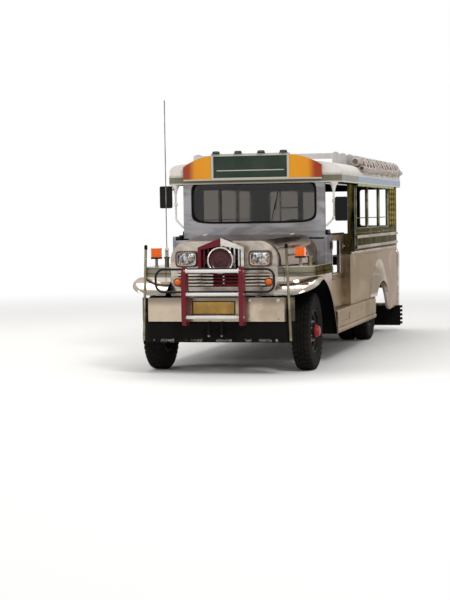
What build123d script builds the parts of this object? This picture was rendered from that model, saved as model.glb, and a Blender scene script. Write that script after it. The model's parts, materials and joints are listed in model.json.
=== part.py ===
import os

from build123d import *

os.makedirs("parts", exist_ok=True)

# A long-wheelbase jeepney. x points to the vehicle's left, y to its rear, z up; y = 0 is the middle of its
# length and z = 0 is the ground. All sizes are millimetres.

# Overall lengths
front_reach = 870
wheelbase = 3930
rear_reach = 1840
total_length = front_reach + wheelbase + rear_reach
front_axle_y = front_reach - total_length / 2
rear_axle_y = front_axle_y + wheelbase
fit_gap = 0.3
moving_gap = 7

# Wheels
tyre_radius = 390
tyre_width = 180
tyre_shoulder = 34
rim_radius = 215
rim_wall = 9
front_tyre_x = 759
rear_tyre_x = 700
twin_spacing = 200
hub_bore = 26
running_gap = 0.05
kingpin_x = 620
kingpin_radius = 13
knuckle_boss_radius = 30

# Chassis
rail_inner_x = 312
rail_outer_x = 370
rail_bottom = 500
rail_top = 612
rail_wall = 8
rail_front_y = front_axle_y - 640
rail_rear_y = rear_axle_y + 1600
spring_x = 341
spring_width = 56
leaf_thickness = 9

# Body
floor_bottom = 614
floor_top = 640
body_half = 900
body_wall = 28
cab_half = body_half - 65
cab_wall = 32
cowl_y = front_axle_y + 744
windscreen_y = front_axle_y + 970
pillar_y = front_axle_y + 1790
pillar_width = 350
door_top = 1338
body_end_y = rear_axle_y + 1570
sill_z = 1396
window_top = 1867
roof_bottom = 1990
wall_top = roof_bottom - fit_gap
window_post = 40
body_bottom = 548

# Roof
band_half = body_half + 50
roof_half = band_half - 6
roof_crown_z = 2150
roof_trim = 8
shoulder_radius = 140
shoulder_drop = 28
shoulder_x = roof_half + roof_trim - (shoulder_radius**2 - shoulder_drop**2) ** 0.5
shoulder_z = roof_bottom - shoulder_drop
roof_front_y = windscreen_y - 24
roof_end_y = rear_axle_y + 1704
band_bottom = 1905
band_wall = 16
band_corner = 120
band_front_y = roof_front_y - 6
band_end_y = roof_end_y + 6

# Nose and hood
nose_y = front_axle_y - 375
nose_half = 545
nose_top = 1303
nose_bottom = 762
nose_corner = 190
nose_depth = 70
sheet = 12
hood_rear_half = cab_half - 110
hood_rear_top = 1348
hinge_y = cowl_y + 12
hinge_z = 1352
hinge_x = 470
hinge_pin = 6
hinge_barrel = 12
hinge_width = 28
lug_width = 15

# Fenders: a flat-topped box over a humped wing
fender_half = 880
fender_top = 1048
fender_front_y = front_axle_y - 380
fender_rear_y = cowl_y - fit_gap
fender_corner = 290
fender_tail_z = 312
bead_z = 975
wing_half = 950
wing_crest_y = front_axle_y - 155
wing_crest_z = 943
wing_front_radius = 650
wing_front_turn = 41
wing_rear_radius = 863
wing_rear_turn = 74.5
wing_front_y = front_axle_y - 581
wing_corner = 270
wing_edge = 40
hood_side_bottom = fender_top + 8


def span(x, y, z, mode=Mode.ADD):
    # a plain block given by its two limits along each axis
    with Locations(((x[0] + x[1]) / 2, (y[0] + y[1]) / 2, (z[0] + z[1]) / 2)):
        Box(x[1] - x[0], y[1] - y[0], z[1] - z[0], mode=mode)


def side_plane(x):
    return Plane.YZ.offset(x)


def front_plane(y):
    return Plane.XZ.offset(-y)


def tube(points, radius, bend, closed=False):
    # a bent round tube along straight runs joined by arcs
    with BuildLine(mode=Mode.PRIVATE) as path:
        FilletPolyline(*points, radius=bend, close=closed)
    with BuildSketch(Plane(origin=path.line @ 0, z_dir=path.line % 0), mode=Mode.PRIVATE) as end:
        Circle(radius)
    sweep(end.sketch, path=path.line)


def rod(start, end, radius):
    # a straight round bar between two points
    direction = Vector(*end) - Vector(*start)
    with BuildSketch(Plane(origin=start, z_dir=direction), mode=Mode.PRIVATE) as end_face:
        Circle(radius)
    extrude(end_face.sketch, amount=direction.length)


def barrel(centre, direction, outer, bore, length):
    # a round eye turning on its pin
    eye_plane = Plane(origin=centre, z_dir=direction)
    with Locations(eye_plane):
        Cylinder(outer, length)
    with Locations(eye_plane):
        Cylinder(bore, length + 2, mode=Mode.SUBTRACT)


# Chassis frame: two channel rails, the cross members between them and the bumper horns
cross_member_stations = [-600, -380, 1150, 2000, 2900, 3600, 4500, 5400]
cross_member_height = 40
with BuildPart() as chassis_frame:
    for side in (-1, 1):
        outer = side * rail_outer_x
        inner = side * rail_inner_x
        span(sorted((inner, outer)), (rail_front_y, rail_rear_y), (rail_bottom, rail_top))
        web = side * (rail_outer_x - rail_wall)
        span(
            sorted((inner, web)),
            (rail_front_y, rail_rear_y),
            (rail_bottom + rail_wall, rail_top - rail_wall),
            mode=Mode.SUBTRACT,
        )
    for station in cross_member_stations:
        y = front_axle_y + station
        span(
            (-rail_outer_x + rail_wall, rail_outer_x - rail_wall),
            (y - 30, y + 30),
            (rail_top - cross_member_height, rail_top),
        )
        span(
            (-rail_inner_x + 20, rail_inner_x - 20),
            (y - 22, y + 30),
            (rail_top - cross_member_height + rail_wall, rail_top - rail_wall),
            mode=Mode.SUBTRACT,
        )

# Front axle: a dropped beam with an eye at each end for the kingpin
beam_height = 80
beam_depth = 56
beam_drop = 56
with BuildPart() as front_axle:
    with BuildSketch(front_plane(front_axle_y + beam_depth / 2)):
        with BuildLine():
            top = tyre_radius + beam_height / 2
            low = top - beam_drop
            Polyline(
                (-kingpin_x, top), (-kingpin_x + 100, top), (-kingpin_x + 190, low), (kingpin_x - 190, low),
                (kingpin_x - 100, top), (kingpin_x, top), (kingpin_x, top - beam_height),
                (kingpin_x - 110, top - beam_height), (kingpin_x - 200, low - beam_height),
                (-kingpin_x + 200, low - beam_height), (-kingpin_x + 110, top - beam_height),
                (-kingpin_x, top - beam_height), close=True,
            )
        make_face()
    extrude(amount=beam_depth)
    for side in (-1, 1):
        with Locations((side * kingpin_x, front_axle_y, tyre_radius)):
            Cylinder(knuckle_boss_radius, beam_height)
    for side in (-1, 1):
        with Locations((side * kingpin_x, front_axle_y, tyre_radius)):
            Cylinder(kingpin_radius + running_gap, beam_height + 2, mode=Mode.SUBTRACT)

# Knuckles: two ears about the axle's eye, the kingpin through it, the stub axle and the steering arm
ear_thickness = 26
stub_end_x = 812


def knuckle(side):
    with BuildPart() as built:
        ear_z = beam_height / 2 + moving_gap
        for low in (tyre_radius + ear_z, tyre_radius - ear_z - ear_thickness):
            with BuildSketch(Plane.XY.offset(low)):
                with Locations((kingpin_x, front_axle_y)):
                    Circle(knuckle_boss_radius)
                with Locations((kingpin_x + 26, front_axle_y)):
                    Rectangle(52, 2 * knuckle_boss_radius)
            extrude(amount=ear_thickness)
        post_height = beam_height + 2 * (moving_gap + ear_thickness)
        span(
            (kingpin_x + 37, kingpin_x + 52),
            (front_axle_y - knuckle_boss_radius, front_axle_y + knuckle_boss_radius),
            (tyre_radius - post_height / 2, tyre_radius + post_height / 2),
        )
        with Locations((kingpin_x, front_axle_y, tyre_radius)):
            Cylinder(kingpin_radius, post_height)
        rod((kingpin_x + 50, front_axle_y, tyre_radius), (stub_end_x, front_axle_y, tyre_radius), hub_bore)
        arm_z = tyre_radius - ear_z - ear_thickness
        with BuildSketch(Plane.XY.offset(arm_z)):
            with Locations((kingpin_x - 8, front_axle_y + 80)):
                SlotOverall(190, 36, rotation=90)
        extrude(amount=16)
        if side < 0:
            mirror(built.part, about=Plane.YZ, mode=Mode.REPLACE)
    return built


knuckle_left = knuckle(1)
knuckle_right = knuckle(-1)


# Tyres and rims: profiles turned about the axle's line
def tyre(x, y, side):
    with BuildPart() as built:
        half = tyre_width / 2
        for centre in x:
            with BuildSketch(Plane(origin=(centre, y, tyre_radius), x_dir=(1, 0, 0), z_dir=(0, -1, 0))):
                with BuildLine():
                    bead = rim_radius + fit_gap
                    Polyline((-half + 22, bead), (half - 22, bead))
                    ThreePointArc((half - 22, bead), (half, bead + 62), (half - 6, tyre_radius - tyre_shoulder))
                    ThreePointArc(
                        (half - 6, tyre_radius - tyre_shoulder),
                        (half - 14, tyre_radius - 10),
                        (half - 34, tyre_radius),
                    )
                    Line((half - 34, tyre_radius), (-half + 34, tyre_radius))
                    ThreePointArc(
                        (-half + 34, tyre_radius),
                        (-half + 14, tyre_radius - 10),
                        (-half + 6, tyre_radius - tyre_shoulder),
                    )
                    ThreePointArc((-half + 6, tyre_radius - tyre_shoulder), (-half, bead + 62), (-half + 22, bead))
                make_face()
            revolve(axis=Axis((centre, y, tyre_radius), (1, 0, 0)))
        if side < 0:
            mirror(built.part, about=Plane.YZ, mode=Mode.REPLACE)
    return built


disc_edge = rim_radius - 24
disc_flat = 134
hand_hole_ring = 162
hand_hole = 15


def rim(x, y, side, dish, hub_reach, hub_radius):
    # a drop-centre barrel for each tyre, one dished disc with hand holes, and the hub through the middle
    outer = max(x)
    with BuildPart() as built:
        half = tyre_width / 2 - 14
        axis = Axis((0, y, tyre_radius), (1, 0, 0))
        for centre in x:
            with BuildSketch(Plane(origin=(centre, y, tyre_radius), x_dir=(1, 0, 0), z_dir=(0, -1, 0))):
                with BuildLine():
                    Polyline(
                        (-half, rim_radius), (half, rim_radius), (half, rim_radius - rim_wall),
                        (half - 24, rim_radius - rim_wall), (half - 40, rim_radius - 30),
                        (-half + 40, rim_radius - 30), (-half + 24, rim_radius - rim_wall),
                        (-half, rim_radius - rim_wall), close=True,
                    )
                make_face()
            revolve(axis=axis)
        with BuildSketch(Plane(origin=(outer, y, tyre_radius), x_dir=(1, 0, 0), z_dir=(0, -1, 0))):
            with BuildLine():
                Polyline(
                    (dish - 8, disc_edge), (dish + 22, disc_flat), (dish + 22, hub_radius),
                    (hub_reach - 14, hub_radius), (hub_reach, hub_radius - 16), (hub_reach, 0),
                    (hub_reach - 24, 0), (hub_reach - 24, hub_bore + running_gap),
                    (dish - 40, hub_bore + running_gap), (dish - 40, hub_radius),
                    (dish + 8, hub_radius + 20), (dish + 8, disc_flat - 6), (dish - 20, disc_edge),
                    close=True,
                )
            make_face()
        revolve(axis=axis)
        with BuildSketch(side_plane(outer)):
            with Locations((y, tyre_radius)):
                with PolarLocations(hand_hole_ring, 8):
                    Circle(hand_hole)
        extrude(amount=dish + 60, both=True, mode=Mode.SUBTRACT)
        if len(x) > 1:
            inner = min(x)
            with BuildSketch(side_plane(inner)):
                with Locations((y, tyre_radius)):
                    Circle(disc_edge)
                    Circle(hub_bore + running_gap, mode=Mode.SUBTRACT)
                    with PolarLocations(hand_hole_ring, 8):
                        Circle(hand_hole, mode=Mode.SUBTRACT)
            extrude(amount=12)
            with BuildSketch(side_plane(inner)):
                with Locations((y, tyre_radius)):
                    Circle(hub_radius)
                    Circle(hub_bore + running_gap, mode=Mode.SUBTRACT)
            extrude(amount=outer - inner + dish - 30)
        if side < 0:
            mirror(built.part, about=Plane.YZ, mode=Mode.REPLACE)
    return built


front_x = [front_tyre_x]
rear_x = [rear_tyre_x - twin_spacing, rear_tyre_x]
wheels = {}
for name, side in (("left", 1), ("right", -1)):
    wheels[f"tyre_front_{name}"] = tyre(front_x, front_axle_y, side)
    wheels[f"rim_front_{name}"] = rim(front_x, front_axle_y, side, 10, 106, 62)
    wheels[f"tyre_rear_{name}"] = tyre(rear_x, rear_axle_y, side)
    wheels[f"rim_rear_{name}"] = rim(rear_x, rear_axle_y, side, -30, 40, 70)

# Rear axle: the tubes, the round differential housing and the spring pads
axle_tube = 42
diff_radius = 150
with BuildPart() as rear_axle:
    rod((-400, rear_axle_y, tyre_radius), (400, rear_axle_y, tyre_radius), axle_tube)
    with Locations((0, rear_axle_y, tyre_radius)):
        Sphere(diff_radius)
    rod((0, rear_axle_y, tyre_radius), (0, rear_axle_y - 240, tyre_radius), 60)
    for side in (-1, 1):
        stub_out = side * (rear_tyre_x + 6)
        rod((side * 400, rear_axle_y, tyre_radius), (stub_out, rear_axle_y, tyre_radius), hub_bore)
        span(
            sorted((side * (spring_x - 34), side * (spring_x + 34))),
            (rear_axle_y - 70, rear_axle_y + 70),
            (tyre_radius, tyre_radius + axle_tube + 6),
        )

# Leaf springs: packs of ever shorter leaves under a long main leaf, with a hanger at each end
spring_rows = [
    # axle line, half length, z of the pack's foot
    (front_axle_y, 470, tyre_radius + beam_height / 2 - beam_drop + fit_gap),
    (rear_axle_y, 620, tyre_radius + axle_tube + 6 + fit_gap),
]
leaf_rows = [(0, 0.42), (1, 0.62), (2, 0.82), (3, 1.0)]
with BuildPart() as leaf_springs:
    for axle_y, half, foot in spring_rows:
        for side in (-1, 1):
            for step, share in leaf_rows:
                reach = half * share
                low = foot + step * leaf_thickness
                span(
                    sorted((side * (spring_x - spring_width / 2), side * (spring_x + spring_width / 2))),
                    (axle_y - reach, axle_y + reach),
                    (low, low + leaf_thickness),
                )
            top = foot + 4 * leaf_thickness
            for end in (-1, 1):
                eye_y = axle_y + end * (half - 14)
                span(
                    sorted((side * (spring_x - spring_width / 2), side * (spring_x + spring_width / 2))),
                    (eye_y - 14, eye_y + 14),
                    (top - 6, rail_bottom - fit_gap),
                )

# Engine block with gearbox and the propeller shaft to the rear axle
crank_z = 540
bell_y = front_axle_y + 420
gearbox_y = front_axle_y + 740
output_y = front_axle_y + 920
pinion_reach = 240
engine_half = 200
with BuildPart() as driveline:
    span((-engine_half, engine_half), (front_axle_y - 260, bell_y), (crank_z - 90, 1100))
    fillet(driveline.edges().filter_by(Axis.Y), 30)
    with Locations(Plane(origin=(0, bell_y - 1, crank_z), z_dir=(0, 1, 0))):
        Cone(88, 62, gearbox_y - bell_y + 1, align=(Align.CENTER, Align.CENTER, Align.MIN))
    rod((0, gearbox_y - 1, crank_z), (0, output_y, crank_z), 62)
    rod((0, output_y - 10, crank_z), (0, rear_axle_y - pinion_reach - 60, tyre_radius), 34)
    rod(
        (0, rear_axle_y - pinion_reach - 70, tyre_radius),
        (0, rear_axle_y - pinion_reach - fit_gap, tyre_radius),
        44,
    )

# Exhaust: pipe, silencer and tail pipe along the right side
exhaust_x = -480
exhaust_z = 430
exhaust_drop_x = -262
manifold_y = front_axle_y + 150
manifold_z = 620
silencer_y = front_axle_y + 1780
silencer_length = 720
tail_pipe_length = 660
with BuildPart() as exhaust:
    tube(
        [
            (-engine_half - fit_gap, manifold_y, manifold_z), (exhaust_drop_x, manifold_y, manifold_z),
            (exhaust_drop_x, manifold_y + 180, exhaust_z), (exhaust_drop_x, manifold_y + 410, exhaust_z),
            (exhaust_x, silencer_y - 880, exhaust_z), (exhaust_x, silencer_y + 20, exhaust_z),
        ],
        26, 34,
    )
    silencer_end = silencer_y + silencer_length
    rod((exhaust_x, silencer_y, exhaust_z), (exhaust_x, silencer_end, exhaust_z), 90)
    tail_pipe_end = silencer_end + tail_pipe_length
    rod((exhaust_x, silencer_end - 10, exhaust_z), (exhaust_x, tail_pipe_end, exhaust_z), 24)
    for y in (silencer_y + 120, silencer_end - 120):
        span((exhaust_x - 12, exhaust_x + 12), (y - 20, y + 20), (510, floor_bottom - fit_gap))

# Fuel tank slung on the left rail
tank_front_y = pillar_y + 160
tank_length = 850
tank_x = 580
with BuildPart() as fuel_tank:
    with BuildSketch(front_plane(tank_front_y)):
        with Locations((tank_x, 470)):
            RectangleRounded(360, 250, 60)
    extrude(amount=-tank_length)
    for y in (tank_front_y + 150, tank_front_y + tank_length - 150):
        span((tank_x - 60, tank_x - 20), (y - 20, y + 20), (590, floor_bottom - fit_gap))

# Doors' hinge line
door_front_y = cowl_y + 236 + moving_gap
door_hinge_x = cab_half + 10
door_hinge_y = door_front_y - 3
door_hinge_rows = [960, 1225]
door_hinge_height = 50
door_pin = 4
door_barrel = 9

# Cowl: firewall, its sides, the top under the windscreen, and the pins of the hood and doors
cowl_half = cab_half - 35
dash_half = cab_half - cab_wall - moving_gap
cowl_bottom = floor_top
cowl_top = 1297
scuttle_rear_y = windscreen_y + 20
with BuildPart() as cowl:
    span((-cowl_half, cowl_half), (cowl_y, cowl_y + 18), (cowl_bottom, cowl_top))
    for side in (-1, 1):
        span(
            sorted((side * (cab_half - cab_wall), side * cab_half)),
            (cowl_y, cowl_y + 236),
            (body_bottom, door_top),
        )
    span((-cab_half + 1, cab_half - 1), (cowl_y, cowl_y + 236), (cowl_top - 18, cowl_top))
    span((-dash_half, dash_half), (cowl_y + 235, scuttle_rear_y), (cowl_top - 18, cowl_top))
    for x in (-hinge_x, hinge_x):
        for side in (-1, 1):
            lug = x + side * (hinge_width / 2 + 1 + lug_width / 2)
            span(
                (lug - lug_width / 2, lug + lug_width / 2),
                (cowl_y + 2, cowl_y + 32),
                (cowl_top - 2, hinge_z + hinge_pin + 4),
            )
        reach = hinge_width / 2 + lug_width / 2
        rod((x - reach, hinge_y, hinge_z), (x + reach, hinge_y, hinge_z), hinge_pin)
    for side in (-1, 1):
        for z in door_hinge_rows:
            for step in (-1, 1):
                lug = z + step * (door_hinge_height / 2 + 1 + lug_width / 2)
                limits = (lug - lug_width / 2, lug + lug_width / 2)
                outer = side * (door_hinge_x + 7)
                span(sorted((side * (cab_half - 1), outer)), (door_hinge_y - 24, door_hinge_y - 6), limits)
                span(sorted((side * (door_hinge_x - 7), outer)), (door_hinge_y - 24, door_hinge_y), limits)
                with Locations((side * door_hinge_x, door_hinge_y, lug)):
                    Cylinder(7, lug_width)
            reach = door_hinge_height / 2 + lug_width / 2
            rod(
                (side * door_hinge_x, door_hinge_y, z - reach),
                (side * door_hinge_x, door_hinge_y, z + reach),
                door_pin,
            )

# Windscreen frame: a pressed surround from the cowl to the roof with the glass opening in it
frame_half = cab_half - 62
frame_depth = 40
glass_half = frame_half - 108
glass_bottom = 1482
glass_top = 1918
glass_corner = 70
glass_wall = 6
with BuildPart() as windscreen_frame:
    with BuildSketch(front_plane(windscreen_y)):
        with Locations((0, (cowl_top + fit_gap + wall_top) / 2)):
            Rectangle(2 * frame_half, wall_top - cowl_top - fit_gap)
        with Locations((0, (glass_bottom + glass_top) / 2)):
            RectangleRounded(2 * glass_half, glass_top - glass_bottom, glass_corner, mode=Mode.SUBTRACT)
    extrude(amount=-frame_depth)

with BuildPart() as windscreen_glass:
    with BuildSketch(front_plane(windscreen_y + frame_depth / 2)):
        with Locations((0, (glass_bottom + glass_top) / 2)):
            RectangleRounded(
                2 * (glass_half - fit_gap), glass_top - glass_bottom - 2 * fit_gap, glass_corner - fit_gap
            )
    extrude(amount=glass_wall)

# Dashboard across the cab under the glass, and the steering wheel on its column
with BuildPart() as dashboard:
    with BuildSketch(side_plane(-dash_half)):
        with BuildLine():
            dash_y = windscreen_y + frame_depth + fit_gap
            Polyline(
                (dash_y, 1236), (dash_y, 1390), (dash_y + 130, 1390), (dash_y + 166, 1350), (dash_y + 150, 1236),
                close=True,
            )
        make_face()
    extrude(amount=2 * dash_half)
    fillet(dashboard.edges().filter_by(Axis.X).group_by(Axis.Y)[-1], 14)

column_radius = 20
column_tilt = 32.7
column_length = 672
with BuildPart() as steering_wheel:
    column_way = Vector(0, 1, 0).rotate(Axis.X, column_tilt)
    column_foot = Vector(380, cowl_y + 18 + fit_gap + column_radius * column_way.Z, 957)
    wheel_centre = column_foot + column_way * column_length
    wheel_plane = Plane(origin=wheel_centre, x_dir=(1, 0, 0), z_dir=column_way)
    with Locations(wheel_plane):
        Torus(205, 14)
        Cylinder(46, 40)
    with BuildSketch(wheel_plane):
        with PolarLocations(0, 3):
            with Locations((0, 102)):
                Rectangle(26, 200)
    extrude(amount=9, both=True)
    rod(column_foot, wheel_centre, column_radius)

# Floor with boxes over the rear wheels
box_half_length = 520
box_inner_x = 385
box_top = 840
with BuildPart() as floor:
    floor_front = cowl_y + 18 + fit_gap
    floor_half = cab_half - cab_wall - fit_gap
    span((-floor_half, floor_half), (floor_front, body_end_y - 45), (floor_bottom, floor_top))
    for side in (-1, 1):
        y_limits = (rear_axle_y - box_half_length, rear_axle_y + box_half_length)
        x_limits = sorted((side * box_inner_x, side * (body_half - body_wall - fit_gap)))
        span(x_limits, y_limits, (floor_bottom, box_top))
        inner_limits = sorted((side * (box_inner_x + 12), side * (body_half + 10)))
        span(
            inner_limits,
            (y_limits[0] + 12, y_limits[1] - 12),
            (floor_bottom - 10, box_top - 12),
            mode=Mode.SUBTRACT,
        )
    for side in (-1, 1):
        span(
            sorted((side * (floor_half - 1), side * (body_half - body_wall - fit_gap))),
            (pillar_y + body_wall + fit_gap, rear_axle_y - box_half_length + 12),
            (floor_bottom, floor_top),
        )
        span(
            sorted((side * (floor_half - 1), side * (body_half - body_wall - fit_gap))),
            (rear_axle_y + box_half_length - 12, body_end_y - 45),
            (floor_bottom, floor_top),
        )

# Body sides: panels with the windows, the wheel opening and the broad front pillar
arch_half = 713
arch_base_z = 320
arch_rise = 405
window_rows = [
    # start and end of each window behind the front axle
    (2222, 3035), (3075, 3940), (3980, 4700),
]
tail_z = 330
ledge_z = 1102


def body_side(side):
    with BuildPart() as built:
        with BuildSketch(side_plane(body_half - body_wall)):
            with BuildLine():
                tail_corner = (rear_axle_y + 1000, tail_z)
                arch_corner = (rear_axle_y + 600, tail_z + 130)
                Polyline(
                    arch_corner, (rear_axle_y, tail_z + 130), (rear_axle_y, body_bottom), (pillar_y, body_bottom),
                    (pillar_y, wall_top), (body_end_y, wall_top), (body_end_y, tail_z + 80),
                    (body_end_y - 80, tail_z), tail_corner,
                )
                ThreePointArc(tail_corner, (rear_axle_y + 730, tail_z + 34), arch_corner)
            make_face()
            for start, end in window_rows:
                with Locations((front_axle_y + (start + end) / 2, (sill_z + window_top) / 2)):
                    RectangleRounded(end - start, window_top - sill_z, 18, mode=Mode.SUBTRACT)
            with BuildLine():
                ThreePointArc(
                    (rear_axle_y - arch_half, arch_base_z),
                    (rear_axle_y, arch_base_z + arch_rise),
                    (rear_axle_y + arch_half, arch_base_z),
                )
                Line((rear_axle_y + arch_half, arch_base_z), (rear_axle_y - arch_half, arch_base_z))
            make_face(mode=Mode.SUBTRACT)
        extrude(amount=body_wall)
        span(
            (cab_half - cab_wall, body_half - 1),
            (pillar_y, pillar_y + body_wall),
            (body_bottom, door_top),
        )
        with BuildSketch(Plane.XY.offset(ledge_z + 40)):
            with BuildLine():
                Polyline(
                    (body_half - 1, pillar_y + pillar_width), (body_half - 1, pillar_y), (body_half, pillar_y)
                )
                ThreePointArc(
                    (body_half, pillar_y),
                    (body_half + 22, pillar_y + pillar_width / 2),
                    (body_half, pillar_y + pillar_width),
                )
                Line((body_half, pillar_y + pillar_width), (body_half - 1, pillar_y + pillar_width))
            make_face()
        extrude(amount=band_bottom - 70 - ledge_z)
        if side < 0:
            mirror(built.part, about=Plane.YZ, mode=Mode.REPLACE)
    return built


body_side_left = body_side(1)
body_side_right = body_side(-1)

# Bright trim on the sides: two rails, the ledge below them and the crescent over the rear wheel
rail_rows = [
    # foot, height, reach outwards, distance behind the pillar's front
    (1270, 42, 26, pillar_width + 5), (1155, 42, 26, pillar_width + 5), (ledge_z, 38, 14, 20),
]
flare_base = body_bottom + 12
flare_half = 730
flare_rise = 435
flare_reach = 46
flare_lip = 26
arch_radius = (arch_half**2 + arch_rise**2) / (2 * arch_rise)
arch_top = arch_base_z + arch_rise


def opening_half(z):
    # half the width of the wheel opening at a height
    rise = z - (arch_top - arch_radius)
    return (arch_radius**2 - rise**2) ** 0.5


def flare_face(x, half, top):
    # a crescent between the wheel opening and a wider arc
    inner = opening_half(flare_base)
    with BuildSketch(side_plane(x), mode=Mode.PRIVATE) as face:
        with BuildLine():
            crest_point = (rear_axle_y, top)
            ThreePointArc((rear_axle_y - half, flare_base), crest_point, (rear_axle_y + half, flare_base))
            Line((rear_axle_y + half, flare_base), (rear_axle_y + inner, flare_base))
            inner_crest = (rear_axle_y, arch_top)
            ThreePointArc((rear_axle_y + inner, flare_base), inner_crest, (rear_axle_y - inner, flare_base))
            Line((rear_axle_y - inner, flare_base), (rear_axle_y - half, flare_base))
        make_face()
    return face.sketch


with BuildPart() as side_trim:
    for foot, height, reach, front in rail_rows:
        with BuildSketch(front_plane(pillar_y + front)):
            with BuildLine():
                base = body_half + fit_gap
                Line((base, foot + height), (base, foot))
                ThreePointArc((base, foot), (base + reach, foot + height / 2), (base, foot + height))
            make_face()
        extrude(amount=-(body_end_y - 60 - pillar_y - front))
    base = body_half + fit_gap
    lip_half = opening_half(flare_base) + flare_lip
    loft(
        [
            flare_face(base, flare_half, flare_base + flare_rise),
            flare_face(base + flare_reach, lip_half, arch_top + flare_lip),
        ],
        ruled=True,
    )
    mirror(side_trim.part, about=Plane.YZ)

# Rear wall with the doorway in the middle and a window on each side
doorway_half = 350
doorway_top = window_top - 17
with BuildPart() as rear_wall:
    with BuildSketch(front_plane(body_end_y - 40)):
        wall_half = body_half - body_wall - fit_gap
        with Locations((0, (floor_bottom + wall_top) / 2)):
            Rectangle(2 * wall_half, wall_top - floor_bottom)
        with Locations((0, (floor_top + doorway_top) / 2)):
            Rectangle(2 * doorway_half, doorway_top - floor_top, mode=Mode.SUBTRACT)
        for side in (-1, 1):
            with Locations((side * (doorway_half + wall_half) / 2, (sill_z + window_top) / 2)):
                RectangleRounded(wall_half - doorway_half - 140, window_top - sill_z, 30, mode=Mode.SUBTRACT)
    extrude(amount=-28)

# Bench frames and the long cushions that face each other
bench_inner_x = body_half - 400
bench_top = 1010
cushion = 70
bench_front_y = pillar_y + 60
bench_rear_y = body_end_y - 90
with BuildPart() as bench_bases:
    for side in (-1, 1):
        x_limits = sorted((side * (bench_inner_x + 20), side * (body_half - body_wall - fit_gap)))
        span(x_limits, (bench_front_y, bench_rear_y), (bench_top - 22, bench_top))
        for station in range(6):
            y = bench_front_y + 30 + station * (bench_rear_y - bench_front_y - 60) / 5
            foot = box_top if abs(y - rear_axle_y) < box_half_length + 20 else floor_top
            span(
                sorted((side * (bench_inner_x + 30), side * (bench_inner_x + 60))),
                (y - 15, y + 15),
                (foot + fit_gap, bench_top - 22),
            )

with BuildPart() as benches:
    for side in (-1, 1):
        with BuildSketch(front_plane(bench_front_y)):
            with BuildLine():
                inner = side * bench_inner_x
                outer = side * (body_half - body_wall - 2)
                foot = bench_top + fit_gap
                crown = foot + cushion
                Polyline((inner, foot), (inner, crown), (outer, crown), (outer, foot), close=True)
            make_face()
        extrude(amount=-(bench_rear_y - bench_front_y))

# Front seats: cushion and backrest for the driver and for the passenger, each on a plain box
seat_front_y = pillar_y - 500
seat_foot = 930
seat_cushion = 100
seat_depth = 360
seat_back_height = 490
seat_back = 80
seat_rows = [
    # middle, width
    (400, 440),
    (-330, 620),
]
with BuildPart() as front_seats:
    for centre, seat_width in seat_rows:
        with BuildSketch(side_plane(centre - seat_width / 2)):
            with BuildLine():
                back_y = seat_front_y + seat_depth + 50
                top = seat_foot + seat_back_height
                Polyline(
                    (seat_front_y, seat_foot), (seat_front_y, seat_foot + seat_cushion),
                    (seat_front_y + seat_depth, seat_foot + seat_cushion - 10), (back_y, top),
                    (back_y + seat_back, top), (back_y + seat_back - 20, seat_foot), close=True,
                )
            make_face()
        extrude(amount=seat_width)

with BuildPart() as seat_bases:
    for centre, seat_width in seat_rows:
        span(
            (centre - seat_width / 2 + 20, centre + seat_width / 2 - 20),
            (seat_front_y + 30, seat_front_y + 450),
            (floor_top, seat_foot - fit_gap),
        )

# Roof: crowned panel with rounded shoulders, and the drip band around it
with BuildPart() as roof_panel:
    with BuildSketch(front_plane(roof_front_y - roof_trim)):
        with BuildLine():
            half = roof_half + roof_trim
            Line((-half, roof_bottom), (half, roof_bottom))
            crown_end = (shoulder_x, shoulder_z + shoulder_radius)
            turn = shoulder_radius * 0.5**0.5
            corner = (shoulder_x + turn, shoulder_z + turn)
            ThreePointArc((half, roof_bottom), corner, crown_end)
            ThreePointArc(crown_end, (0, roof_crown_z), (-crown_end[0], crown_end[1]))
            ThreePointArc((-crown_end[0], crown_end[1]), (-corner[0], corner[1]), (-half, roof_bottom))
        make_face()
    extrude(amount=-(roof_end_y - roof_front_y + 2 * roof_trim))
    with BuildSketch(Plane.XY.offset(roof_bottom - roof_trim)):
        with Locations((0, (roof_front_y + roof_end_y) / 2)):
            RectangleRounded(2 * roof_half, roof_end_y - roof_front_y, band_corner - 6)
    extrude(amount=roof_crown_z - roof_bottom + 2 * roof_trim, mode=Mode.INTERSECT)

band_flange = 22
with BuildPart() as drip_band:
    centre_y = (band_front_y + band_end_y) / 2
    length = band_end_y - band_front_y
    with BuildSketch(Plane.XY.offset(band_bottom)):
        with Locations((0, centre_y)):
            RectangleRounded(2 * band_half, length, band_corner)
            RectangleRounded(
                2 * (band_half - band_wall),
                length - 2 * band_wall,
                band_corner - band_wall,
                mode=Mode.SUBTRACT,
            )
    extrude(amount=roof_bottom - band_bottom)
    with BuildSketch(Plane.XY.offset(band_bottom - 14)):
        with Locations((0, centre_y)):
            RectangleRounded(2 * band_half, length, band_corner)
            Rectangle(2 * (body_half + fit_gap), length - 2 * band_flange, mode=Mode.SUBTRACT)
    extrude(amount=14)

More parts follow.
